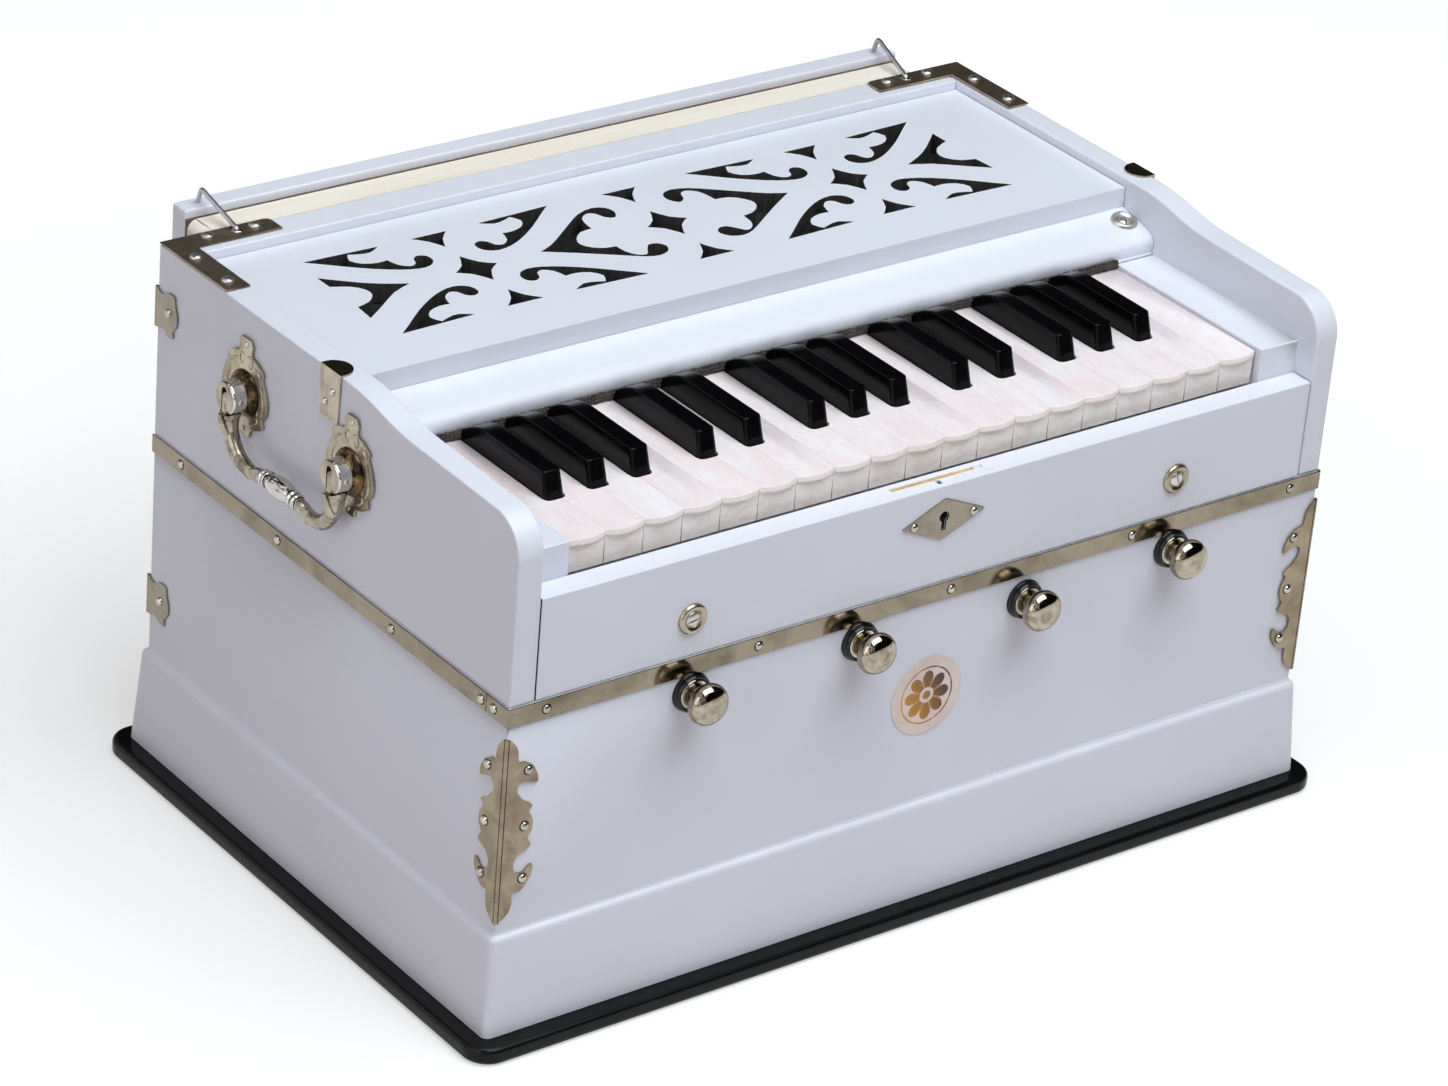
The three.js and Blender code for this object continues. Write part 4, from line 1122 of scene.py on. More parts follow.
class HARMONIUM_OT_white_keys(HarmoniumOperator, bpy.types.Operator):
    """Covers the white keys with marbled celluloid"""

    bl_idname = "harmonium.white_keys"
    bl_label = "White keys"

    def make(self, context):
        for name in key_nodes(sharp=False):
            bm = cad_bmesh(name)
            self.close_up(bm)
            self.round_notches(bm)
            before = FRONT + 17 * MM
            corners = [e for e in self.cap_edges(bm, 0.5 * MM)
                       if max(v.co.y for v in e.verts) < before and abs(way_of(e).z) > 0.9]
            bevel(bm, corners, 1.4 * MM, 4)
            bevel(bm, [e for e in self.cap_edges(bm, 0.2 * MM) if abs(way_of(e).y) < 0.9], 0.4 * MM)
            add_piece(bm, f"{name}_celluloid", name, "white_key", ["pearl"], 50, name)

    def cap_edges(self, bm, shortest):
        return [e for e in sharp_edges(bm, 35, shortest) if min(v.co.z for v in e.verts) > CAP_FOOT]

    def close_up(self, bm):
        """Brings the caps close to their neighbours and to the black keys' feet."""
        low = min(v.co.x for v in bm.verts)
        high = max(v.co.x for v in bm.verts)
        for vert in bm.verts:
            if vert.co.z < CAP_FOOT:
                continue
            if abs(vert.co.y - CAD_NOTCH) < 0.3 * MM:
                vert.co.y += NOTCH - CAD_NOTCH
            if vert.co.x < low + 0.05 * MM:
                vert.co.x -= 0.2 * MM
            elif vert.co.x > high - 0.05 * MM:
                vert.co.x += 0.2 * MM

    def round_notches(self, bm):
        """Fills the inner corner of each notch to follow the black key's rounded foot."""
        low = min(v.co.x for v in bm.verts)
        high = max(v.co.x for v in bm.verts)
        corners = []
        for e in bm.edges:
            foot, head = sorted((v.co for v in e.verts), key=lambda place: place.z)
            upright = (head - foot).normalized().z > 0.99 and head.z > KEY_TOP - 0.1 * MM
            if upright and abs(head.y - NOTCH) < 0.4 * MM and low + 1 * MM < head.x < high - 1 * MM:
                corners.append(e)
        if corners:
            bevel(bm, corners, 3.6 * MM, 6)


class HARMONIUM_OT_black_keys(HarmoniumOperator, bpy.types.Operator):
    """Shapes the black keys: leaning front, rounded edges, a tail that runs down under the rail"""

    bl_idname = "harmonium.black_keys"
    bl_label = "Black keys"

    def make(self, context):
        for name in key_nodes(sharp=True):
            bm = cad_bmesh(name)
            bmesh.ops.bisect_plane(
                bm, geom=[*bm.verts, *bm.edges, *bm.faces],
                plane_co=(0, 0, CAP_FOOT), plane_no=UP, clear_outer=True)
            bmesh.ops.holes_fill(bm, edges=[e for e in bm.edges if e.is_boundary])
            for face in bm.faces:
                face.material_index = 1
            low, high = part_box(name)
            self.top_into(bm, (low.x + high.x) / 2)
            add_piece(bm, f"{name}_ebonised", name, "black_key", ["ebony", "key wood"], 50, name)

    def top_into(self, bm, middle):
        """Plans of the key one over the other, from its foot in the notch to its eased top edge."""
        full = 12.8 * MM
        ease = 0.8 * MM
        near = NOTCH + 0.6 * MM
        levels = [(CAP_FOOT - KEY_TOP, 0), (0, 0), (4 * MM, 0), (8 * MM, 0)]
        for i in range(5):
            turn = QUARTER * i / 4
            levels.append((full - ease * (1 - math.sin(turn)), ease * (1 - math.cos(turn))))
        rear = self.rear()
        rings = []
        for level, inset in levels:
            share = max(0, level / full)
            half = BLACK_HALF - 0.65 * MM * share - inset
            front = near + 4.4 * MM * share + inset
            corner = 3.2 * MM - 1.1 * MM * share - 0.6 * inset
            plan = [(half - corner + corner * math.sin(t), front + corner * (1 - math.cos(t)), 1)
                    for t in (QUARTER * i / 8 for i in range(9))]
            plan += [(half, depth, height) for depth, height in rear]
            plan = [(x, y, KEY_TOP + (level * height if level > 0 else level)) for x, y, height in plan]
            right = [bm.verts.new((middle + x, y, z)) for x, y, z in plan]
            left = [bm.verts.new((middle - x, y, z)) for x, y, z in plan]
            rings.append(right + left[::-1])
        faces = [bm.faces.new(rings[0]), *skin(bm, rings)]
        top = rings[-1]
        last = len(top) - 1
        for i in range(last // 2):
            faces.append(bm.faces.new((top[i], top[i + 1], top[last - 1 - i], top[last - i])))
        for face in faces:
            face.material_index = 0

    def rear(self):
        """Depth and share of the height along the key: level, then curving down under the rail."""
        start = FRONT + 63 * MM
        fall = 25 * MM
        flat_end = FRONT + 128.5 * MM - fall
        level = [(start + (flat_end - start) * i / 5, 1) for i in range(5)]
        curve = smooth_run([(0, 1), (0.28, 0.94), (0.55, 0.74), (0.8, 0.42), (1, 0.1)], 4)
        return level + [(flat_end + fall * p.x, p.y) for p in curve]


class HARMONIUM_OT_felt(HarmoniumOperator, bpy.types.Operator):
    """Lays the felt under the rail, let in round the black keys"""

    bl_idname = "harmonium.felt"
    bl_label = "Key felt"

    def make(self, context):
        aside = BLACK_HALF + 0.2 * MM
        over = BLACK_HALF + 1 * MM
        start = -KEYS_END
        sharps = sorted((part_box(n)[0].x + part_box(n)[1].x) / 2 for n in key_nodes(sharp=True))
        bm = bmesh.new()
        draw = random.Random(5)
        for middle in sharps:
            self.length(bm, start, middle - aside, draw)
            start = middle + aside
        self.length(bm, start, KEYS_END, draw)
        for middle in sharps:
            self.length(bm, middle - over, middle + over, draw, 3.4 * MM)
        add_piece(bm, "key_felt", "case", "black_key", ["felt"], 70, even=False)

    def length(self, bm, x0, x1, draw, foot=0.25 * MM):
        """One length of felt: a soft-edged strip whose face is a little uneven."""
        steps = max(2, round((x1 - x0) / (1.5 * MM)))
        front = FRONT + 123.4 * MM
        rear = FRONT + 129.5 * MM
        inside = front + 2.3 * MM
        low = KEY_TOP + foot
        rings = []
        for i in range(steps + 1):
            x = x0 + (x1 - x0) * i / steps
            face = front + draw.uniform(-0.35, 0.35) * MM
            top = KEY_TOP + draw.uniform(-0.3, 0.3) * MM
            under = [(rear, low), (rear, KEY_TOP + 2.1 * MM), (inside, KEY_TOP + 2.2 * MM)]
            if foot >= 1 * MM:  # over a black key, where nothing reaches behind the strip
                under = [(inside, low)]
            section = [
                (face + 0.5 * MM, low), *under, (inside, top + 4.6 * MM), (face + 1.2 * MM, top + 5 * MM),
                (face + 0.2 * MM, top + 4.4 * MM), (face, low + 0.7 * MM),
            ]
            rings.append([(x, y, z) for y, z in section])
        loft_into(bm, rings)


# Places of the corner plate's screws in millimetres, on the right.
PLATE_SCREWS = ((224, 150), (197, 150), (241.5, 132), (241.5, 103))


class HARMONIUM_OT_corner_plates(HarmoniumOperator, bpy.types.Operator):
    """Screws the corner plates to the top rim"""

    bl_idname = "harmonium.corner_plates"
    bl_label = "Corner plates"

    def make(self, context):
        head = screw_shape(3.4 * MM, 1.7 * MM, 0.8 * MM, 0.75 * MM)
        draw = random.Random(11)
        for hand, side in HANDS:
            dressed(f"corner_plate_{side}", "corner", "nickel_plate", 0.22 * MM, 1 * MM, 50, 2)
            bm = bmesh.new()
            for x, y in mm(PLATE_SCREWS):
                stamp(bm, head, facing((hand * x, y, PLATE_TOP), UP, draw.uniform(0, 3.1)))
            add_trim(bm, f"plate_screws_{side}", ["head"], 50)


class HARMONIUM_OT_hooks(HarmoniumOperator, bpy.types.Operator):
    """Bends the wire hooks and sets their collars"""

    bl_idname = "harmonium.hooks"
    bl_label = "Bellows hooks"

    def make(self, context):
        foot_x = SIDE - 39.7 * MM
        foot_y = BACK - 6.5 * MM
        reach = (edge("bellows_board", 1, True) - 5.75 * MM - 4.2 * MM - foot_y) / MM
        lean = 0.09 * reach
        bends = [(0, 0, -6), (0, 0, -1), (0, 0, 2.4)]
        bends += [(lean * share, reach * share, 2.4 + 9.6 * share) for share in (0.16, 0.5, 0.85, 1)]
        bends += [(lean, reach + 2.1, 10.9), (lean, reach + 4.2, 4.6)]
        collar = mm([(1.35, -0.2), (2.9, -0.2), (2.9, 0.5), (2.5, 0.9), (1.9, 1.1), (1.35, 1.1)])
        for hand, side in HANDS:
            node = f"bellows_hook_{side}"
            bm = bmesh.new()
            path = smooth_run([(hand * (foot_x + x), foot_y + y, RIM_TOP + z) for x, y, z in mm(bends)], 8)
            tube_into(bm, path, lambda share, turn: 1.25 * MM, 14, (1, 0, 0))
            add_piece(bm, f"hook_wire_{side}", node, "bright_nickel", ["wire"], 60, node, even=False)
            bm = bmesh.new()
            lathe_into(bm, collar, (hand * foot_x, foot_y, PLATE_TOP), UP, 6)
            add_trim(bm, f"hook_collar_{side}", ["screw"], 30)


# Half of the front angle's outline, as shares of its width and height.
ANGLE_OUTLINE = (
    (0, 0), (0.12, 0.01), (0.37, 0.05), (0.46, 0.107), (0.46, 0.15), (0.65, 0.153), (0.8, 0.178),
    (0.98, 0.23), (1, 0.281), (0.88, 0.278), (0.7, 0.25), (0.49, 0.266), (0.44, 0.319), (0.59, 0.358),
    (0.84, 0.378), (0.9, 0.402), (0.8, 0.432), (0.91, 0.477), (0.91, 0.533), (0.79, 0.581),
    (0.88, 0.61), (0.63, 0.645), (0.44, 0.691), (0.41, 0.728), (0.56, 0.753), (0.78, 0.743),
    (0.98, 0.728), (0.97, 0.77), (0.82, 0.826), (0.59, 0.856), (0.41, 0.864), (0.35, 0.935),
    (0.18, 0.985), (0, 1),
)
# Distance from the corner and height of each pin, in millimetres.
ANGLE_PINS = ((12.4, 148.3), (12, 118.4), (12.8, 90))
# The small bracket's outline in millimetres from the rear corner and its foot, and the heights of the two.
SMALL_BRACKET = (
    (0, 22.7), (2.6, 21.2), (5.7, 20.7), (9.2, 22.6), (12.7, 23.4), (16.6, 22.8), (17.3, 19), (19.4, 13.4),
    (18.9, 8), (15.7, 4.2), (15.9, 0.6), (11.6, 0.2), (7.3, 2.7), (3.6, 1.6), (0, 1),
)
SMALL_FEET = (241.3 * MM, 81.3 * MM)


class HARMONIUM_OT_brackets(HarmoniumOperator, bpy.types.Operator):
    """Pins the ornamental angles to the front corners and the small brackets to the rear ones"""

    bl_idname = "harmonium.brackets"
    bl_label = "Angle brackets"

    def make(self, context):
        pin = pin_shape(2.35 * MM, 1.7 * MM)
        halo = halo_shape(2.8 * MM)
        proud = 1.15 * MM
        for hand, side in HANDS:
            self.angle(hand, side)
            bm = bmesh.new()
            for inset, level in mm(ANGLE_PINS):
                for seat in (facing((hand * (SIDE - inset), FRONT - proud, level), FORWARD),
                             facing((hand * (SIDE + proud), FRONT + inset, level), (hand, 0, 0))):
                    stamp(bm, pin, seat)
                    stamp(bm, halo, seat, 1)
            for foot in SMALL_FEET:
                for place, across in self.wings(hand, foot):
                    stamp(bm, pin, facing(place(11.2 * MM, 12.5 * MM, 0.8 * MM), across))
            add_trim(bm, f"bracket_pins_{side}", ["screw", "tarnish"], 60)
            for number, foot in enumerate(SMALL_FEET, 1):
                self.small(hand, foot, f"rear_bracket_{side}_{number}")

    def angle(self, hand, side):
        """Two lobed wings and the rounded fold between them, with a creased line on either side of it painted
        darker as shade.
        """
        node = f"front_angle_{side}"
        low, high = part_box(node)
        width, foot, tall = high.x - low.x, low.z, high.z - low.z
        lobes = smooth_run([(u * width, foot + v * tall) for u, v in ANGLE_OUTLINE[1:-1]], 4)
        start = 1.9 * MM
        plan = [(start, foot + 0.3 * MM), *((p.x, p.y) for p in lobes), (start, foot + tall - 0.4 * MM)]
        under, over, thick = 0.3 * MM, 1.2 * MM, 0.85 * MM
        bm = bmesh.new()
        sheet_into(bm, plan, lambda u, v, w: (hand * (SIDE + over - u), FRONT - under - w, v), thick)
        sheet_into(bm, plan, lambda u, v, w: (hand * (SIDE + under + w), FRONT - over + u, v), thick)
        bevel(bm, sharp_edges(bm, 50, 0.3 * MM), 0.16 * MM, 1)
        half = [(1.2 - u, -w) for u, w in (
            (2.2, 0.3), (2.2, 0.95), (1.8, 0.95), (1.68, 0.7),
            (1.5, 0.7), (1.38, 1.1), (1.1, 1.2), (0.9, 1.2),
        )]
        bend = [(0.3 + v, -0.3 - u) for u, v in arc(0.9, 0, 90, 6)[1:-1]]
        section = half + bend + [(-y, -x) for x, y in reversed(half)]
        for face in sheet_into(bm, mm(section), lambda u, v, w: (
                hand * (SIDE + u), FRONT + v, foot + 0.35 * MM + w), tall - 0.8 * MM):
            middle = face.calc_center_median()
            x, y = hand * middle.x - SIDE, middle.y - FRONT
            creased = abs(y + 0.75 * MM) < 0.18 * MM and x < 0 or abs(x - 0.75 * MM) < 0.18 * MM and y > 0
            # Painted shade: faces in each crease take the darker nickel.
            if len(face.verts) == 4 and creased:
                face.material_index = 1
        add_piece(bm, f"{node}_plated", "case", "nickel_plate", ["angle", "crease"], 45, node)

    def wings(self, hand, foot):
        """How to place a point of the small bracket on the side and on the back of the case."""
        def on_side(u, v, w):
            return (hand * (SIDE + 0.15 * MM + w), BACK - u, foot + v)

        def on_back(u, v, w):
            return (hand * (SIDE - u), BACK + 0.15 * MM + w, foot + v)
        return ((on_side, (hand, 0, 0)), (on_back, (0, 1, 0)))

    def small(self, hand, foot, name):
        outline = mm(SMALL_BRACKET)
        top, bottom = outline[0], outline[-1]
        plan = [bottom, *((p.x, p.y) for p in smooth_run(outline, 3)[-2:0:-1]), top]
        bm = bmesh.new()
        for place, _ in self.wings(hand, foot):
            sheet_into(bm, plan, place, 0.9 * MM)
        inside, outside = 0.1 * MM, 1.05 * MM
        box_into(
            bm, (hand * (SIDE - inside), BACK - inside, foot + bottom[1]),
            (hand * (SIDE + outside), BACK + outside, foot + top[1]))
        bevel(bm, sharp_edges(bm, 50, 0.3 * MM), 0.15 * MM, 1)
        add_trim(bm, name, ["nickel"], 45)


class HARMONIUM_OT_clips(HarmoniumOperator, bpy.types.Operator):
    """Folds the spring clips over the cheeks"""

    bl_idname = "harmonium.clips"
    bl_label = "Clips"

    def make(self, context):
        pin = pin_shape(1.9 * MM, 1.4 * MM)
        middle = FRONT + 155.5 * MM
        half = 8.5 * MM
        thick = 0.9 * MM
        outer = SIDE + 0.1 * MM
        seat = RIM_TOP + 0.1 * MM
        leg = [(u * half, v * MM) for u, v in (
            (-0.86, -25), (0.86, -25), (1, -2), (1, 0), (-1, 0), (-1, -2))]
        tab = [(u * half, (1.5 + 8.6 * v) * MM) for u, v in arc(1, 0, 180, 20)]
        tab = [(half, -thick), *tab, (-half, -thick)]
        for hand, side in HANDS:
            bm = bmesh.new()
            sheet_into(bm, leg, lambda u, v, w: (hand * (outer + w), middle + u, seat + v), thick)
            sheet_into(bm, tab, lambda u, v, w: (hand * (outer - v), middle + u, seat + w), thick)
            bevel(bm, sharp_edges(bm, 50, 1 * MM), 0.2 * MM, 2)
            add_trim(bm, f"clip_{side}", ["plate"], 45)
            pins = bmesh.new()
            for depth, level in mm(((153.6, 275.7), (159.3, 268.7))):
                stamp(pins, pin, facing((hand * (outer + thick), FRONT + depth, level), (hand, 0, 0)))
            add_trim(pins, f"clip_pins_{side}", ["screw"], 60)


class HARMONIUM_OT_front_fittings(HarmoniumOperator, bpy.types.Operator):
    """Sets the keyhole plate, the lock, the cup-washer screws and the round label"""

    bl_idname = "harmonium.front_fittings"
    bl_label = "Front fittings"

    def make(self, context):
        self.keyhole_plate()
        self.lock()
        self.cup_screws()
        self.label()

    def keyhole_plate(self):
        level = PANEL_TOP - 18 * MM
        tips = mm([(-25.5, 0), (-0.4, -11), (25.5, 0), (0.4, 11)])

        def plate(bm):
            sheet_into(bm, tips, lambda u, v, w: (u, FRONT - 0.05 * MM - w, level + v), 0.9 * MM)
            bevel(bm, [e for e in bm.edges if abs(way_of(e).y) > 0.9], 1.1 * MM, 4)
            bevel(bm, sharp_edges(bm, 50, 0.3 * MM), 0.2 * MM, 2)
        bm = bmesh_of(carved(mesh_of(plate), *keyhole_shapes(2.9 * MM, 1.4 * MM, 7 * MM, 3 * MM)))
        add_trim(bm, "keyhole_plate", ["nickel"])
        pins = bmesh.new()
        head = pin_shape(2.3 * MM, 1.6 * MM)
        for x in (-18.2 * MM, 18.2 * MM):
            stamp(pins, head, facing((x, FRONT - 0.95 * MM, level), FORWARD))
        add_trim(pins, "keyhole_pins", ["screw"], 60)

    def lock(self):
        """The lock's edge, let into the top of the front panel a little short of its rear side."""
        half = 27.8 * MM
        near = FRONT + 1.8 * MM
        far = FRONT + 6.9 * MM
        floor = PANEL_TOP - 1.5 * MM
        top = PANEL_TOP - 0.12 * MM

        def plate(bm):
            box_into(bm, (-half, near, floor), (half, far, top))
            bevel(bm, sharp_edges(bm, 50, 1 * MM), 0.2 * MM, 2)
        cutters = [box_shape(
            (-2.4 * MM, near + 0.9 * MM, floor + 0.2 * MM), (0.2 * MM, far - 0.7 * MM, top + 1 * MM))]
        for x in (9 * MM, 14.5 * MM, 20.5 * MM):
            cutters.append(turned_shape(mm([(0.5, -0.7), (0.5, 1)]), 12, (x, (near + far) / 2, top)))
        add_piece(bmesh_of(carved(mesh_of(plate), *cutters)), "lock_edge", "case", "white_paint", ["paint"])
        wood = bmesh.new()
        box_into(
            wood, (-half - 0.1 * MM, far + 0.15 * MM, floor),
            (half - 5 * MM, far + 2.5 * MM, top - 0.25 * MM))
        bevel(wood, sharp_edges(wood, 50, 1 * MM), 0.1 * MM, 1)
        add_piece(wood, "lock_packing", "case", "pine", ["packing"], even=False)
        # Painted shade: a thin near-black sheet low in the lock's slot.
        slot_shade = bmesh.new()
        box_into(
            slot_shade, (-2.3 * MM, near + 1 * MM, floor + 0.25 * MM),
            (0.1 * MM, far - 0.8 * MM, floor + 0.4 * MM))
        add_piece(slot_shade, "lock_slot_shade", "case", "black_base", ["dark"], even=False)

    def cup_screws(self):
        """Two screws in the front, and two in the rail that lean with its top."""
        on_front = (203.2 * MM, FORWARD, 8 * MM, screw_shape(4.2 * MM, 1.5 * MM, 1 * MM, 1 * MM), 0)
        lean = Vector((0, -3.2, 14)).normalized()
        rail_top = LID_TOP - 10.8 * MM - 2.4 * MM
        on_rail = (rail_top, lean, 7.2 * MM, screw_shape(3.8 * MM, 1.3 * MM, 1.1 * MM, 0.9 * MM), 1)
        bm = bmesh.new()
        for x, depth, spin, (level, normal, radius, screw, index) in (
                (-146.8, 0, 0.2, on_front), (148.8, 0, 1.9, on_front),
                (-225.5, 141, 0.6, on_rail), (225.5, 141, 1.2, on_rail)):
            place = Vector((x * MM, FRONT + depth * MM, level))
            stamp(bm, turned_shape(washer_profile(radius), 36), facing(place, normal), index)
            stamp(bm, screw, facing(place + Vector(normal) * 0.4 * MM, normal, spin), 1)
        add_trim(bm, "cup_screws", ["plate", "head"], 50)

    def label(self):
        thick, worn = 0.2 * MM, 0.1 * MM
        rim = [(LABEL_RADIUS, 0), (LABEL_RADIUS, 0.14 * MM), (LABEL_RADIUS - worn, thick), (0, thick)]
        bm = bmesh.new()
        lathe_into(bm, rim, (LABEL_X, FRONT - 0.02 * MM, LABEL_Z), FORWARD, 96)
        add_piece(bm, "round_label", "case", "white_paint", ["label"], 30, even=False)


# Radius and height over the case of the rosette's black wood and of the bright ring in it.
ROSETTE_WOOD = (
    (5.75, 0.05), (10.3, 0.05), (10.3, 1.1), (10, 1.6), (9.6, 1.8), (9.8, 2.6), (9.6, 3.6), (9.1, 4.2),
    (8.7, 4.2), (8.2, 3.7), (7.8, 2.9), (7.3, 2.5), (7.1, 2.3), (7, 2.2), (5.75, 2.2),
)
ROSETTE_RING = ((5.4, 2.2), (8, 2.2), (8.05, 3), (7.7, 3.8), (6.9, 4.3), (6, 4.2), (5.4, 3.7))
# Radius and height over the case of the rod behind the knob and of the knob's neck.
KNOB_NECK = ((0, -48), (2.7, -48), (3, -47.7), (3, 0.3), (5.3, 0.3), (5.3, 6.6), (5.6, 7.4))


class HARMONIUM_OT_drawstops(HarmoniumOperator, bpy.types.Operator):
    """Turns the drawstops and the black rosettes that they run through"""

    bl_idname = "harmonium.drawstops"
    bl_label = "Drawstops"

    def make(self, context):
        for number in range(1, 5):
            node = f"drawstop_{number}"
            low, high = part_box(node)
            middle = Vector(((low.x + high.x) / 2, FRONT, (low.z + high.z) / 2))
            bm = bmesh.new()
            lathe_into(bm, mm([*KNOB_NECK, *self.ball()]), middle, FORWARD, 56)
            add_piece(bm, f"{node}_plated", node, "bright_nickel", ["knob"], 40, node, even=False)
            bm = bmesh.new()
            for index, profile in enumerate((ROSETTE_WOOD, ROSETTE_RING)):
                for face in lathe_into(bm, mm(profile), middle, FORWARD, 56, wrap=True):
                    face.material_index = index
            add_piece(bm, f"rosette_{number}", "case", "black_base", ["turned", "screw"], 50)

    def ball(self):
        """Profile of the knob's flattened ball, from its neck to its top."""
        out, radius, half = 14.4, 10.7, 6.4
        steps = 26
        start = math.acos(-0.86)
        profile = []
        for i in range(steps):
            turn = start * (1 - i / steps)
            bulge = math.copysign(abs(math.cos(turn)) ** 0.92, math.cos(turn))
            profile.append((radius * math.sin(turn) ** 0.9, out + half * bulge))
        return [*profile, (0, out + half)]


# Half of the back plate's outline and of the bail's line, as shares of their sizes.
MOUNT_OUTLINE = (
    (0.2, 0.99), (0.3, 0.86), (0.27, 0.68), (0.52, 0.62), (0.8, 0.48), (0.76, 0.36),
    (0.9, 0.16), (1, -0.08), (0.96, -0.32), (0.8, -0.46), (0.84, -0.6), (0.62, -0.72),
    (0.34, -0.8), (0.26, -0.97),
)
BAIL_LINE = (
    (0.5, -0.1), (0.503, -0.24), (0.505, -0.4), (0.485, -0.64), (0.41, -0.89), (0.29, -0.98), (0.15, -0.9),
)
# The scrolls on one half of the back plate, in millimetres from the boss's axis.
SCROLLS = (
    ((0.6, 19.5), (3.4, 20.2), (5.6, 17.6), (4.6, 14.8), (2.6, 15.2), (2.8, 17)),
    ((7.4, 16.4), (11.6, 14.2), (13.4, 11.4)),
    ((13.2, 8.6), (15.6, 3), (15.8, -3.5), (13.6, -7.2), (11.2, -7), (11.4, -5)),
    ((4, -14.4), (8.2, -13.8), (11.6, -10.8), (10.4, -9)),
)


class HARMONIUM_OT_handles(HarmoniumOperator, bpy.types.Operator):
    """Casts the drop handles: lobed back plates, slotted bosses and the turned bails"""

    bl_idname = "harmonium.handles"
    bl_label = "Handles"

    depth = 181.5 * MM
    height = 242.5 * MM
    span = 92 * MM
    drop = 32 * MM
    axis_out = 8.8 * MM
    boss_radius = 8.6 * MM
    boss_length = 12.9 * MM

    def make(self, context):
        for hand, side in HANDS:
            for end, way in (("front", -1), ("rear", 1)):
                self.mount(hand, f"handle_mount_{end}_{side}", way * self.span / 2)
            self.bail(hand, f"handle_bail_{side}")

    def spot(self, hand, x, y, z):
        return (hand * (SIDE + x), FRONT + self.depth + y, self.height + z)

    def mount(self, hand, node, offset):
        right = smooth_run([(u * 20 * MM, (v * 26 + 3.5) * MM) for u, v in MOUNT_OUTLINE], 3)
        plan = [(p.x, p.y) for p in right] + [(-p.x, p.y) for p in reversed(right)]
        bm = bmesh.new()
        faces = sheet_into(bm, plan, lambda u, v, w: self.spot(hand, 0.3 * MM + w, offset + u, v), 1.5 * MM)
        bmesh.ops.recalc_face_normals(bm, faces=bm.faces)
        front = max((f for f in faces if len(f.verts) > 8), key=lambda f: hand * f.calc_center_median().x)
        bmesh.ops.inset_individual(bm, faces=[front], thickness=1.1 * MM, depth=-0.45 * MM)
        bevel(bm, sharp_edges(bm, 50, 0.2 * MM), 0.18 * MM, 1)
        self.curls(bm, hand, offset)
        head = pin_shape(1.5 * MM, 0.9 * MM)
        for v in (25.6 * MM, -18.8 * MM):
            stamp(bm, head, facing(self.spot(hand, 1.25 * MM, offset, v), (hand, 0, 0)), 2)
        self.boss(bm, hand, offset)
        finishes = ["plate", "bright", "screw", "worn", "dark"]
        add_piece(bm, f"{node}_cast", "case", "nickel_plate", finishes, 45, node)

    def curls(self, bm, hand, offset):
        """Raised leaf scrolls over and beside the boss."""
        for way in (1, -1):
            for scroll in SCROLLS:
                path = [self.spot(hand, 1.3 * MM, offset + way * u, v) for u, v in mm(scroll)]
                tube_into(
                    bm, smooth_run(path, 5),
                    lambda share, turn: (0.12 + 0.5 * math.sin(math.pi * share) ** 0.6) * MM, 10, (1, 0, 0))

    def boss(self, bm, hand, offset):
        """The slotted boss: worn at its foot, polished round its top, painted near-black in its slot as
        shade.
        """
        length = self.boss_length
        radius = self.boss_radius
        ease = 1.6 * MM
        profile = mm([(0, 0.9), (12, 0.9), (12, 1.9), (11.2, 2.9), (10.2, 3.4), (9.4, 4.3)])
        profile += [(radius, 5.4 * MM), (radius, length - ease)]
        profile += [(radius - ease + u, length - ease + v) for u, v in arc(ease, 0, 90, 5)[1:]]
        profile.append((0, length))

        def slot(made):
            half = 2.3 * MM
            top = [(u, 3.4 * MM + v) for u, v in arc(half, 0, 180, 10)]
            rows = [(-half, -30 * MM), (half, -30 * MM), *top]
            sheet_into(made, rows, lambda u, v, w: (u, v, self.axis_out - 4.3 * MM + w), 20 * MM)
        turn = Matrix(((0, 0, hand, 0), (1, 0, 0, 0), (0, 1, 0, 0), (0, 0, 0, 1)))
        place = Matrix.Translation(Vector(self.spot(hand, 0, offset, 0))) @ turn
        for face in stamp(bm, carved(turned_shape(profile, 48), mesh_of(slot)), place):
            middle = face.calc_center_median()
            out = abs(middle.x) - SIDE
            inside = abs(middle.y - FRONT - self.depth - offset) < 2.4 * MM and out < length - 0.3 * MM
            slot_shaded = inside and out > 4.4 * MM and abs(middle.z - self.height) < radius - 0.4 * MM
            # Painted shade: faces deep in the slot take the near-black finish.
            face.material_index = 4 if slot_shaded else 3 if out < 5 * MM else 0 if out > length - 0.2 * MM else 1
        pin = pin_shape(1.3 * MM, 0.7 * MM)
        seat = math.sqrt(radius ** 2 - (0.5 * MM) ** 2) - 0.1 * MM
        for way in (1, -1):
            stamp(bm, pin, facing(self.spot(hand, self.axis_out, offset + way * seat, 0), (0, way, 0)), 2)

    def bail(self, hand, node):
        half = [(self.axis_out, u * self.span, v * self.drop) for u, v in BAIL_LINE]
        line = half + [(x, -y, z) for x, y, z in reversed(half)]
        path = [Vector(self.spot(hand, *p)) for p in smooth_run(line, 40)]
        total = sum((b - a).length for a, b in zip(path, path[1:])) / MM
        underside = math.radians(305 if hand > 0 else 235)

        def radius_at(share, turn):
            return self.thickness(abs(share - 0.5) * total, turn, underside)

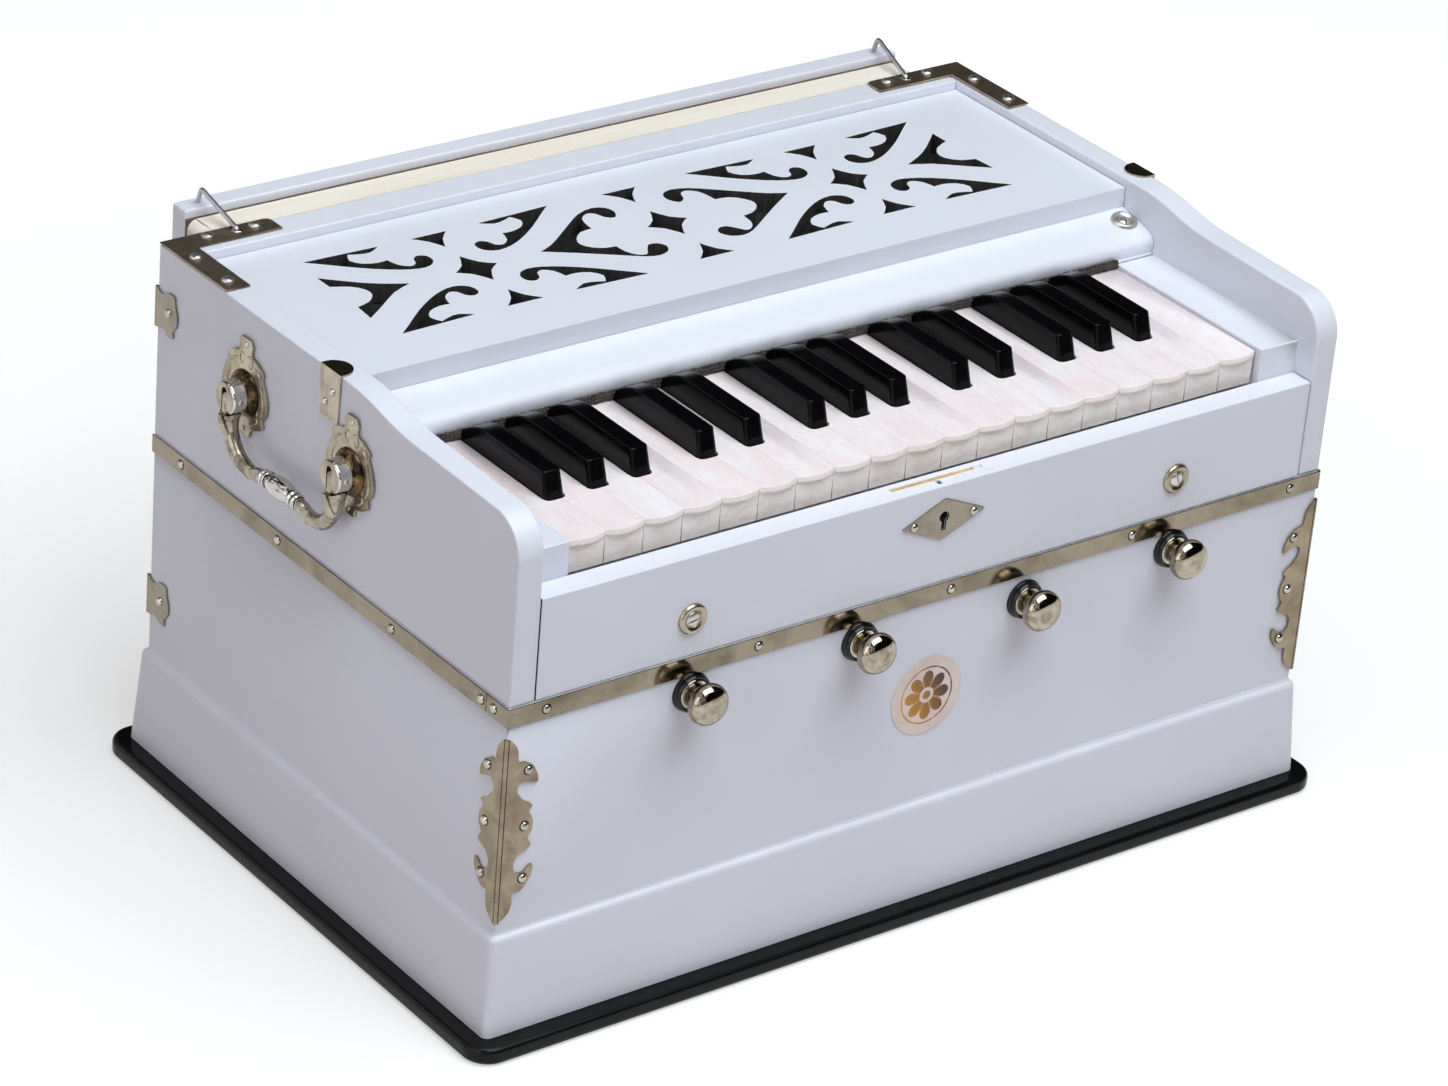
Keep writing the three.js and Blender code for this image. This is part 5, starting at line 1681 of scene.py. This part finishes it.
        bare = mesh_of(lambda bm: tube_into(bm, path, radius_at, 32, (1, 0, 0)))
        clear = self.boss_radius + 0.5 * MM
        long = 30 * MM
        cutters = [turned_shape(
            [(0, -long), (clear, -long), (clear, long), (0, long)], 40,
            self.spot(hand, self.axis_out, way * self.span / 2, 0), (1, 0, 0)) for way in (1, -1)]
        bm = bmesh_of(carved(bare, *cutters))
        for face in bm.faces:
            away = abs(face.calc_center_median().y - FRONT - self.depth)
            groove = any(near < away < far for near, far in mm(((9.4, 10.1), (12.3, 13), (15.6, 16.6))))
            face.material_index = 2 if groove else 1 if away > 17 * MM else 0
        for way in (1, -1):
            self.arm_end(bm, hand, way * self.span / 2)
        add_piece(bm, f"{node}_cast", node, "bright_nickel", ["bright", "cast", "tarnish"], 70, node)

    def thickness(self, s, turn, underside):
        """Radius of the bail at s millimetres from its middle: egg, leaf ribs, rings and swelling arms."""
        def bump(at, wide):
            return math.exp(-((s - at) / wide) ** 2)
        base = 3.1 + 0.8 * min(1, max(0, (s - 14) / 22)) ** 1.5
        if s > 50:
            base += 1.3 * min(1, (s - 50) / 10) ** 2
        egg = 2.3 * max(0, 1 - (s / 9.8) ** 2) ** 0.75
        rings = 1.3 * bump(11, 1.1) + bump(14.2, 1.1)
        leaf = 0.9 * max(0, math.cos(3 * turn)) * bump(18.6, 2.6)
        curl = 0.6 * max(0, math.cos(3 * turn + 1)) * bump(25.5, 2.2)
        below = max(0, math.cos(turn - underside)) ** 2
        ticks = -0.45 * below * sum(bump(at, 0.5) for at in (34, 38, 41.5, 45, 48.5, 52))
        return (base + egg + rings + leaf + curl + ticks) * MM

    def arm_end(self, bm, hand, y):
        """The tongue that turns on the pin in the boss, and the upturned beak under the boss."""
        half = 2.16 * MM
        reach = 3.85 * MM
        plan = [(reach, -11 * MM), *arc(reach, 0, 180, 12), (-reach, -11 * MM)]

        def tongue(made):
            sheet_into(
                made, plan, lambda u, v, w: self.spot(hand, self.axis_out + u, y - half + w, v), 2 * half)
            bevel(made, sharp_edges(made, 50, 1 * MM), 0.4 * MM, 2)
        stamp(bm, mesh_of(tongue), Matrix.Identity(4), 1)
        beak = mm(((2.2, -19), (4, -15.6), (5.1, -12.4), (5.9, -9.8), (6.3, -8)))
        path = smooth_run([self.spot(hand, self.axis_out + u, y, v) for u, v in beak], 6)
        for face in tube_into(bm, path, lambda share, turn: (
                2.9 - 2.1 * share ** 1.2) * (1 + 0.22 * math.cos(2 * turn)) * MM, 20, (0, 1, 0)):
            face.material_index = 1


class HARMONIUM_OT_bellows(HarmoniumOperator, bpy.types.Operator):
    """Builds the bellows: raw wood frame, leather folds, gasket and painted board"""

    bl_idname = "harmonium.bellows"
    bl_label = "Bellows"

    def make(self, context):
        dressed("bellows_frame", "pine", "pine", 0.8 * MM, 2 * MM)
        self.board()
        self.gasket()
        self.folds()

    def board(self):
        low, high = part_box("bellows_board")
        bm = bmesh.new()
        box_into(bm, (low.x, high.y - 11.5 * MM, low.z), high)
        bevel(bm, [e for e in bm.edges if abs(way_of(e).y) > 0.9], 1.4 * MM, 4)
        bevel(bm, sharp_edges(bm, 40, 0.3 * MM), 1 * MM, 4)
        add_piece(bm, "bellows_board_painted", "bellows_board", "white_paint", ["paint"], 50, "bellows_board")

    def gasket(self):
        """A leather ring round the mouth of the bellows, a little uneven at its outer edge."""
        low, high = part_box("bellows_board")
        frame_low, frame_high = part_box("bellows_frame")
        near = low.y + 0.02 * MM
        far = high.y - 11.4 * MM
        middle = Vector(((low.x + high.x) / 2, (frame_low.z + frame_high.z) / 2))
        inset = 0.4 * MM
        wide = 9 * MM
        reach_x = high.x - inset
        reach_z = (frame_high.z - frame_low.z) / 2 - inset
        corners = [Vector((sx * reach_x, middle.y + sz * reach_z))
                   for sx, sz in ((-1, -1), (1, -1), (1, 1), (-1, 1))]
        outline = []
        for a, b, steps in zip(corners, corners[1:] + corners[:1], (40, 20, 40, 20)):
            outline += [a + (b - a) * k / steps for k in range(steps)]
        draw = random.Random(3)
        bm = bmesh.new()
        rings = []
        for point in outline:
            x, z = point.x, point.y - middle.y
            inner = Vector((
                math.copysign(min(abs(x), reach_x - wide), x),
                middle.y + math.copysign(min(abs(z), reach_z - wide), z),
            ))
            outer = point + (middle - point).normalized() * draw.uniform(0, 0.35) * MM
            rings.append([bm.verts.new((p.x, y, p.y)) for p, y in (
                (outer, near), (outer, far), (inner, far), (inner, near))])
        skin(bm, rings, wrap=True)
        add_piece(bm, "bellows_gasket", "bellows_board", "bellows_cloth", ["leather"], 60, even=False)

    def folds(self):
        """A folded tube from frame to board."""
        low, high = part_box("bellows_pleats")
        count = 8
        middle = (low.z + high.z) / 2
        wide = high.x - 0.6 * MM
        tall = (high.z - low.z) / 2 - 0.6 * MM
        bm = bmesh.new()
        shells = []
        for thick in (0, 1 * MM):
            shell = []
            for i in range(count + 1):
                y = low.y + 0.4 * MM + (high.y - low.y - 0.8 * MM) * i / count
                inset = (12 * MM if i % 2 else 0) + thick
                plan = rounded_plan(wide - inset, tall - inset, 5 * MM, 4, middle)
                shell.append([bm.verts.new((x, y, z)) for x, z in plan])
            skin(bm, shell)
            shells.append(shell)
        for end in (0, -1):
            skin(bm, [shell[end] for shell in shells])
        bmesh.ops.recalc_face_normals(bm, faces=bm.faces)
        mesh = mesh_from(bm, "bellows_folds")
        mesh.materials.append(finish_of("leather"))
        piece = linked("bellows_folds", mesh)
        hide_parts("bellows_pleats")
        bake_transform(piece)


STEPS = (
    HARMONIUM_OT_stage, HARMONIUM_OT_cabinet, HARMONIUM_OT_band, HARMONIUM_OT_lid, HARMONIUM_OT_white_keys,
    HARMONIUM_OT_black_keys, HARMONIUM_OT_felt, HARMONIUM_OT_corner_plates, HARMONIUM_OT_hooks,
    HARMONIUM_OT_brackets, HARMONIUM_OT_clips, HARMONIUM_OT_front_fittings, HARMONIUM_OT_drawstops,
    HARMONIUM_OT_handles, HARMONIUM_OT_bellows,
)


class HARMONIUM_PT_panel(bpy.types.Panel):
    """Lists the settings and the operators"""

    bl_label = "Harmonium"
    bl_idname = "HARMONIUM_PT_panel"
    bl_space_type = "VIEW_3D"
    bl_region_type = "UI"
    bl_category = "Harmonium"

    def draw(self, context):
        layout = self.layout
        for group in (context.scene.harmonium_finish, context.scene.harmonium_studio):
            box = layout.box()
            for key in group.bl_rna.properties.keys():
                if key not in ("rna_type", "name"):
                    box.prop(group, key)
        for step in STEPS:
            layout.operator(step.bl_idname)


CLASSES = (HARMONIUM_PG_finish, HARMONIUM_PG_studio, *STEPS, HARMONIUM_PT_panel)


def register():
    for made in CLASSES:
        bpy.utils.register_class(made)
    bpy.types.Scene.harmonium_finish = PointerProperty(type=HARMONIUM_PG_finish)
    bpy.types.Scene.harmonium_studio = PointerProperty(type=HARMONIUM_PG_studio)


def unregister():
    del bpy.types.Scene.harmonium_studio
    del bpy.types.Scene.harmonium_finish
    for made in reversed(CLASSES):
        bpy.utils.unregister_class(made)


def main():
    register()
    for step in STEPS:
        group, name = step.bl_idname.split(".")
        getattr(getattr(bpy.ops, group), name)()


if __name__ == "__main__":
    main()
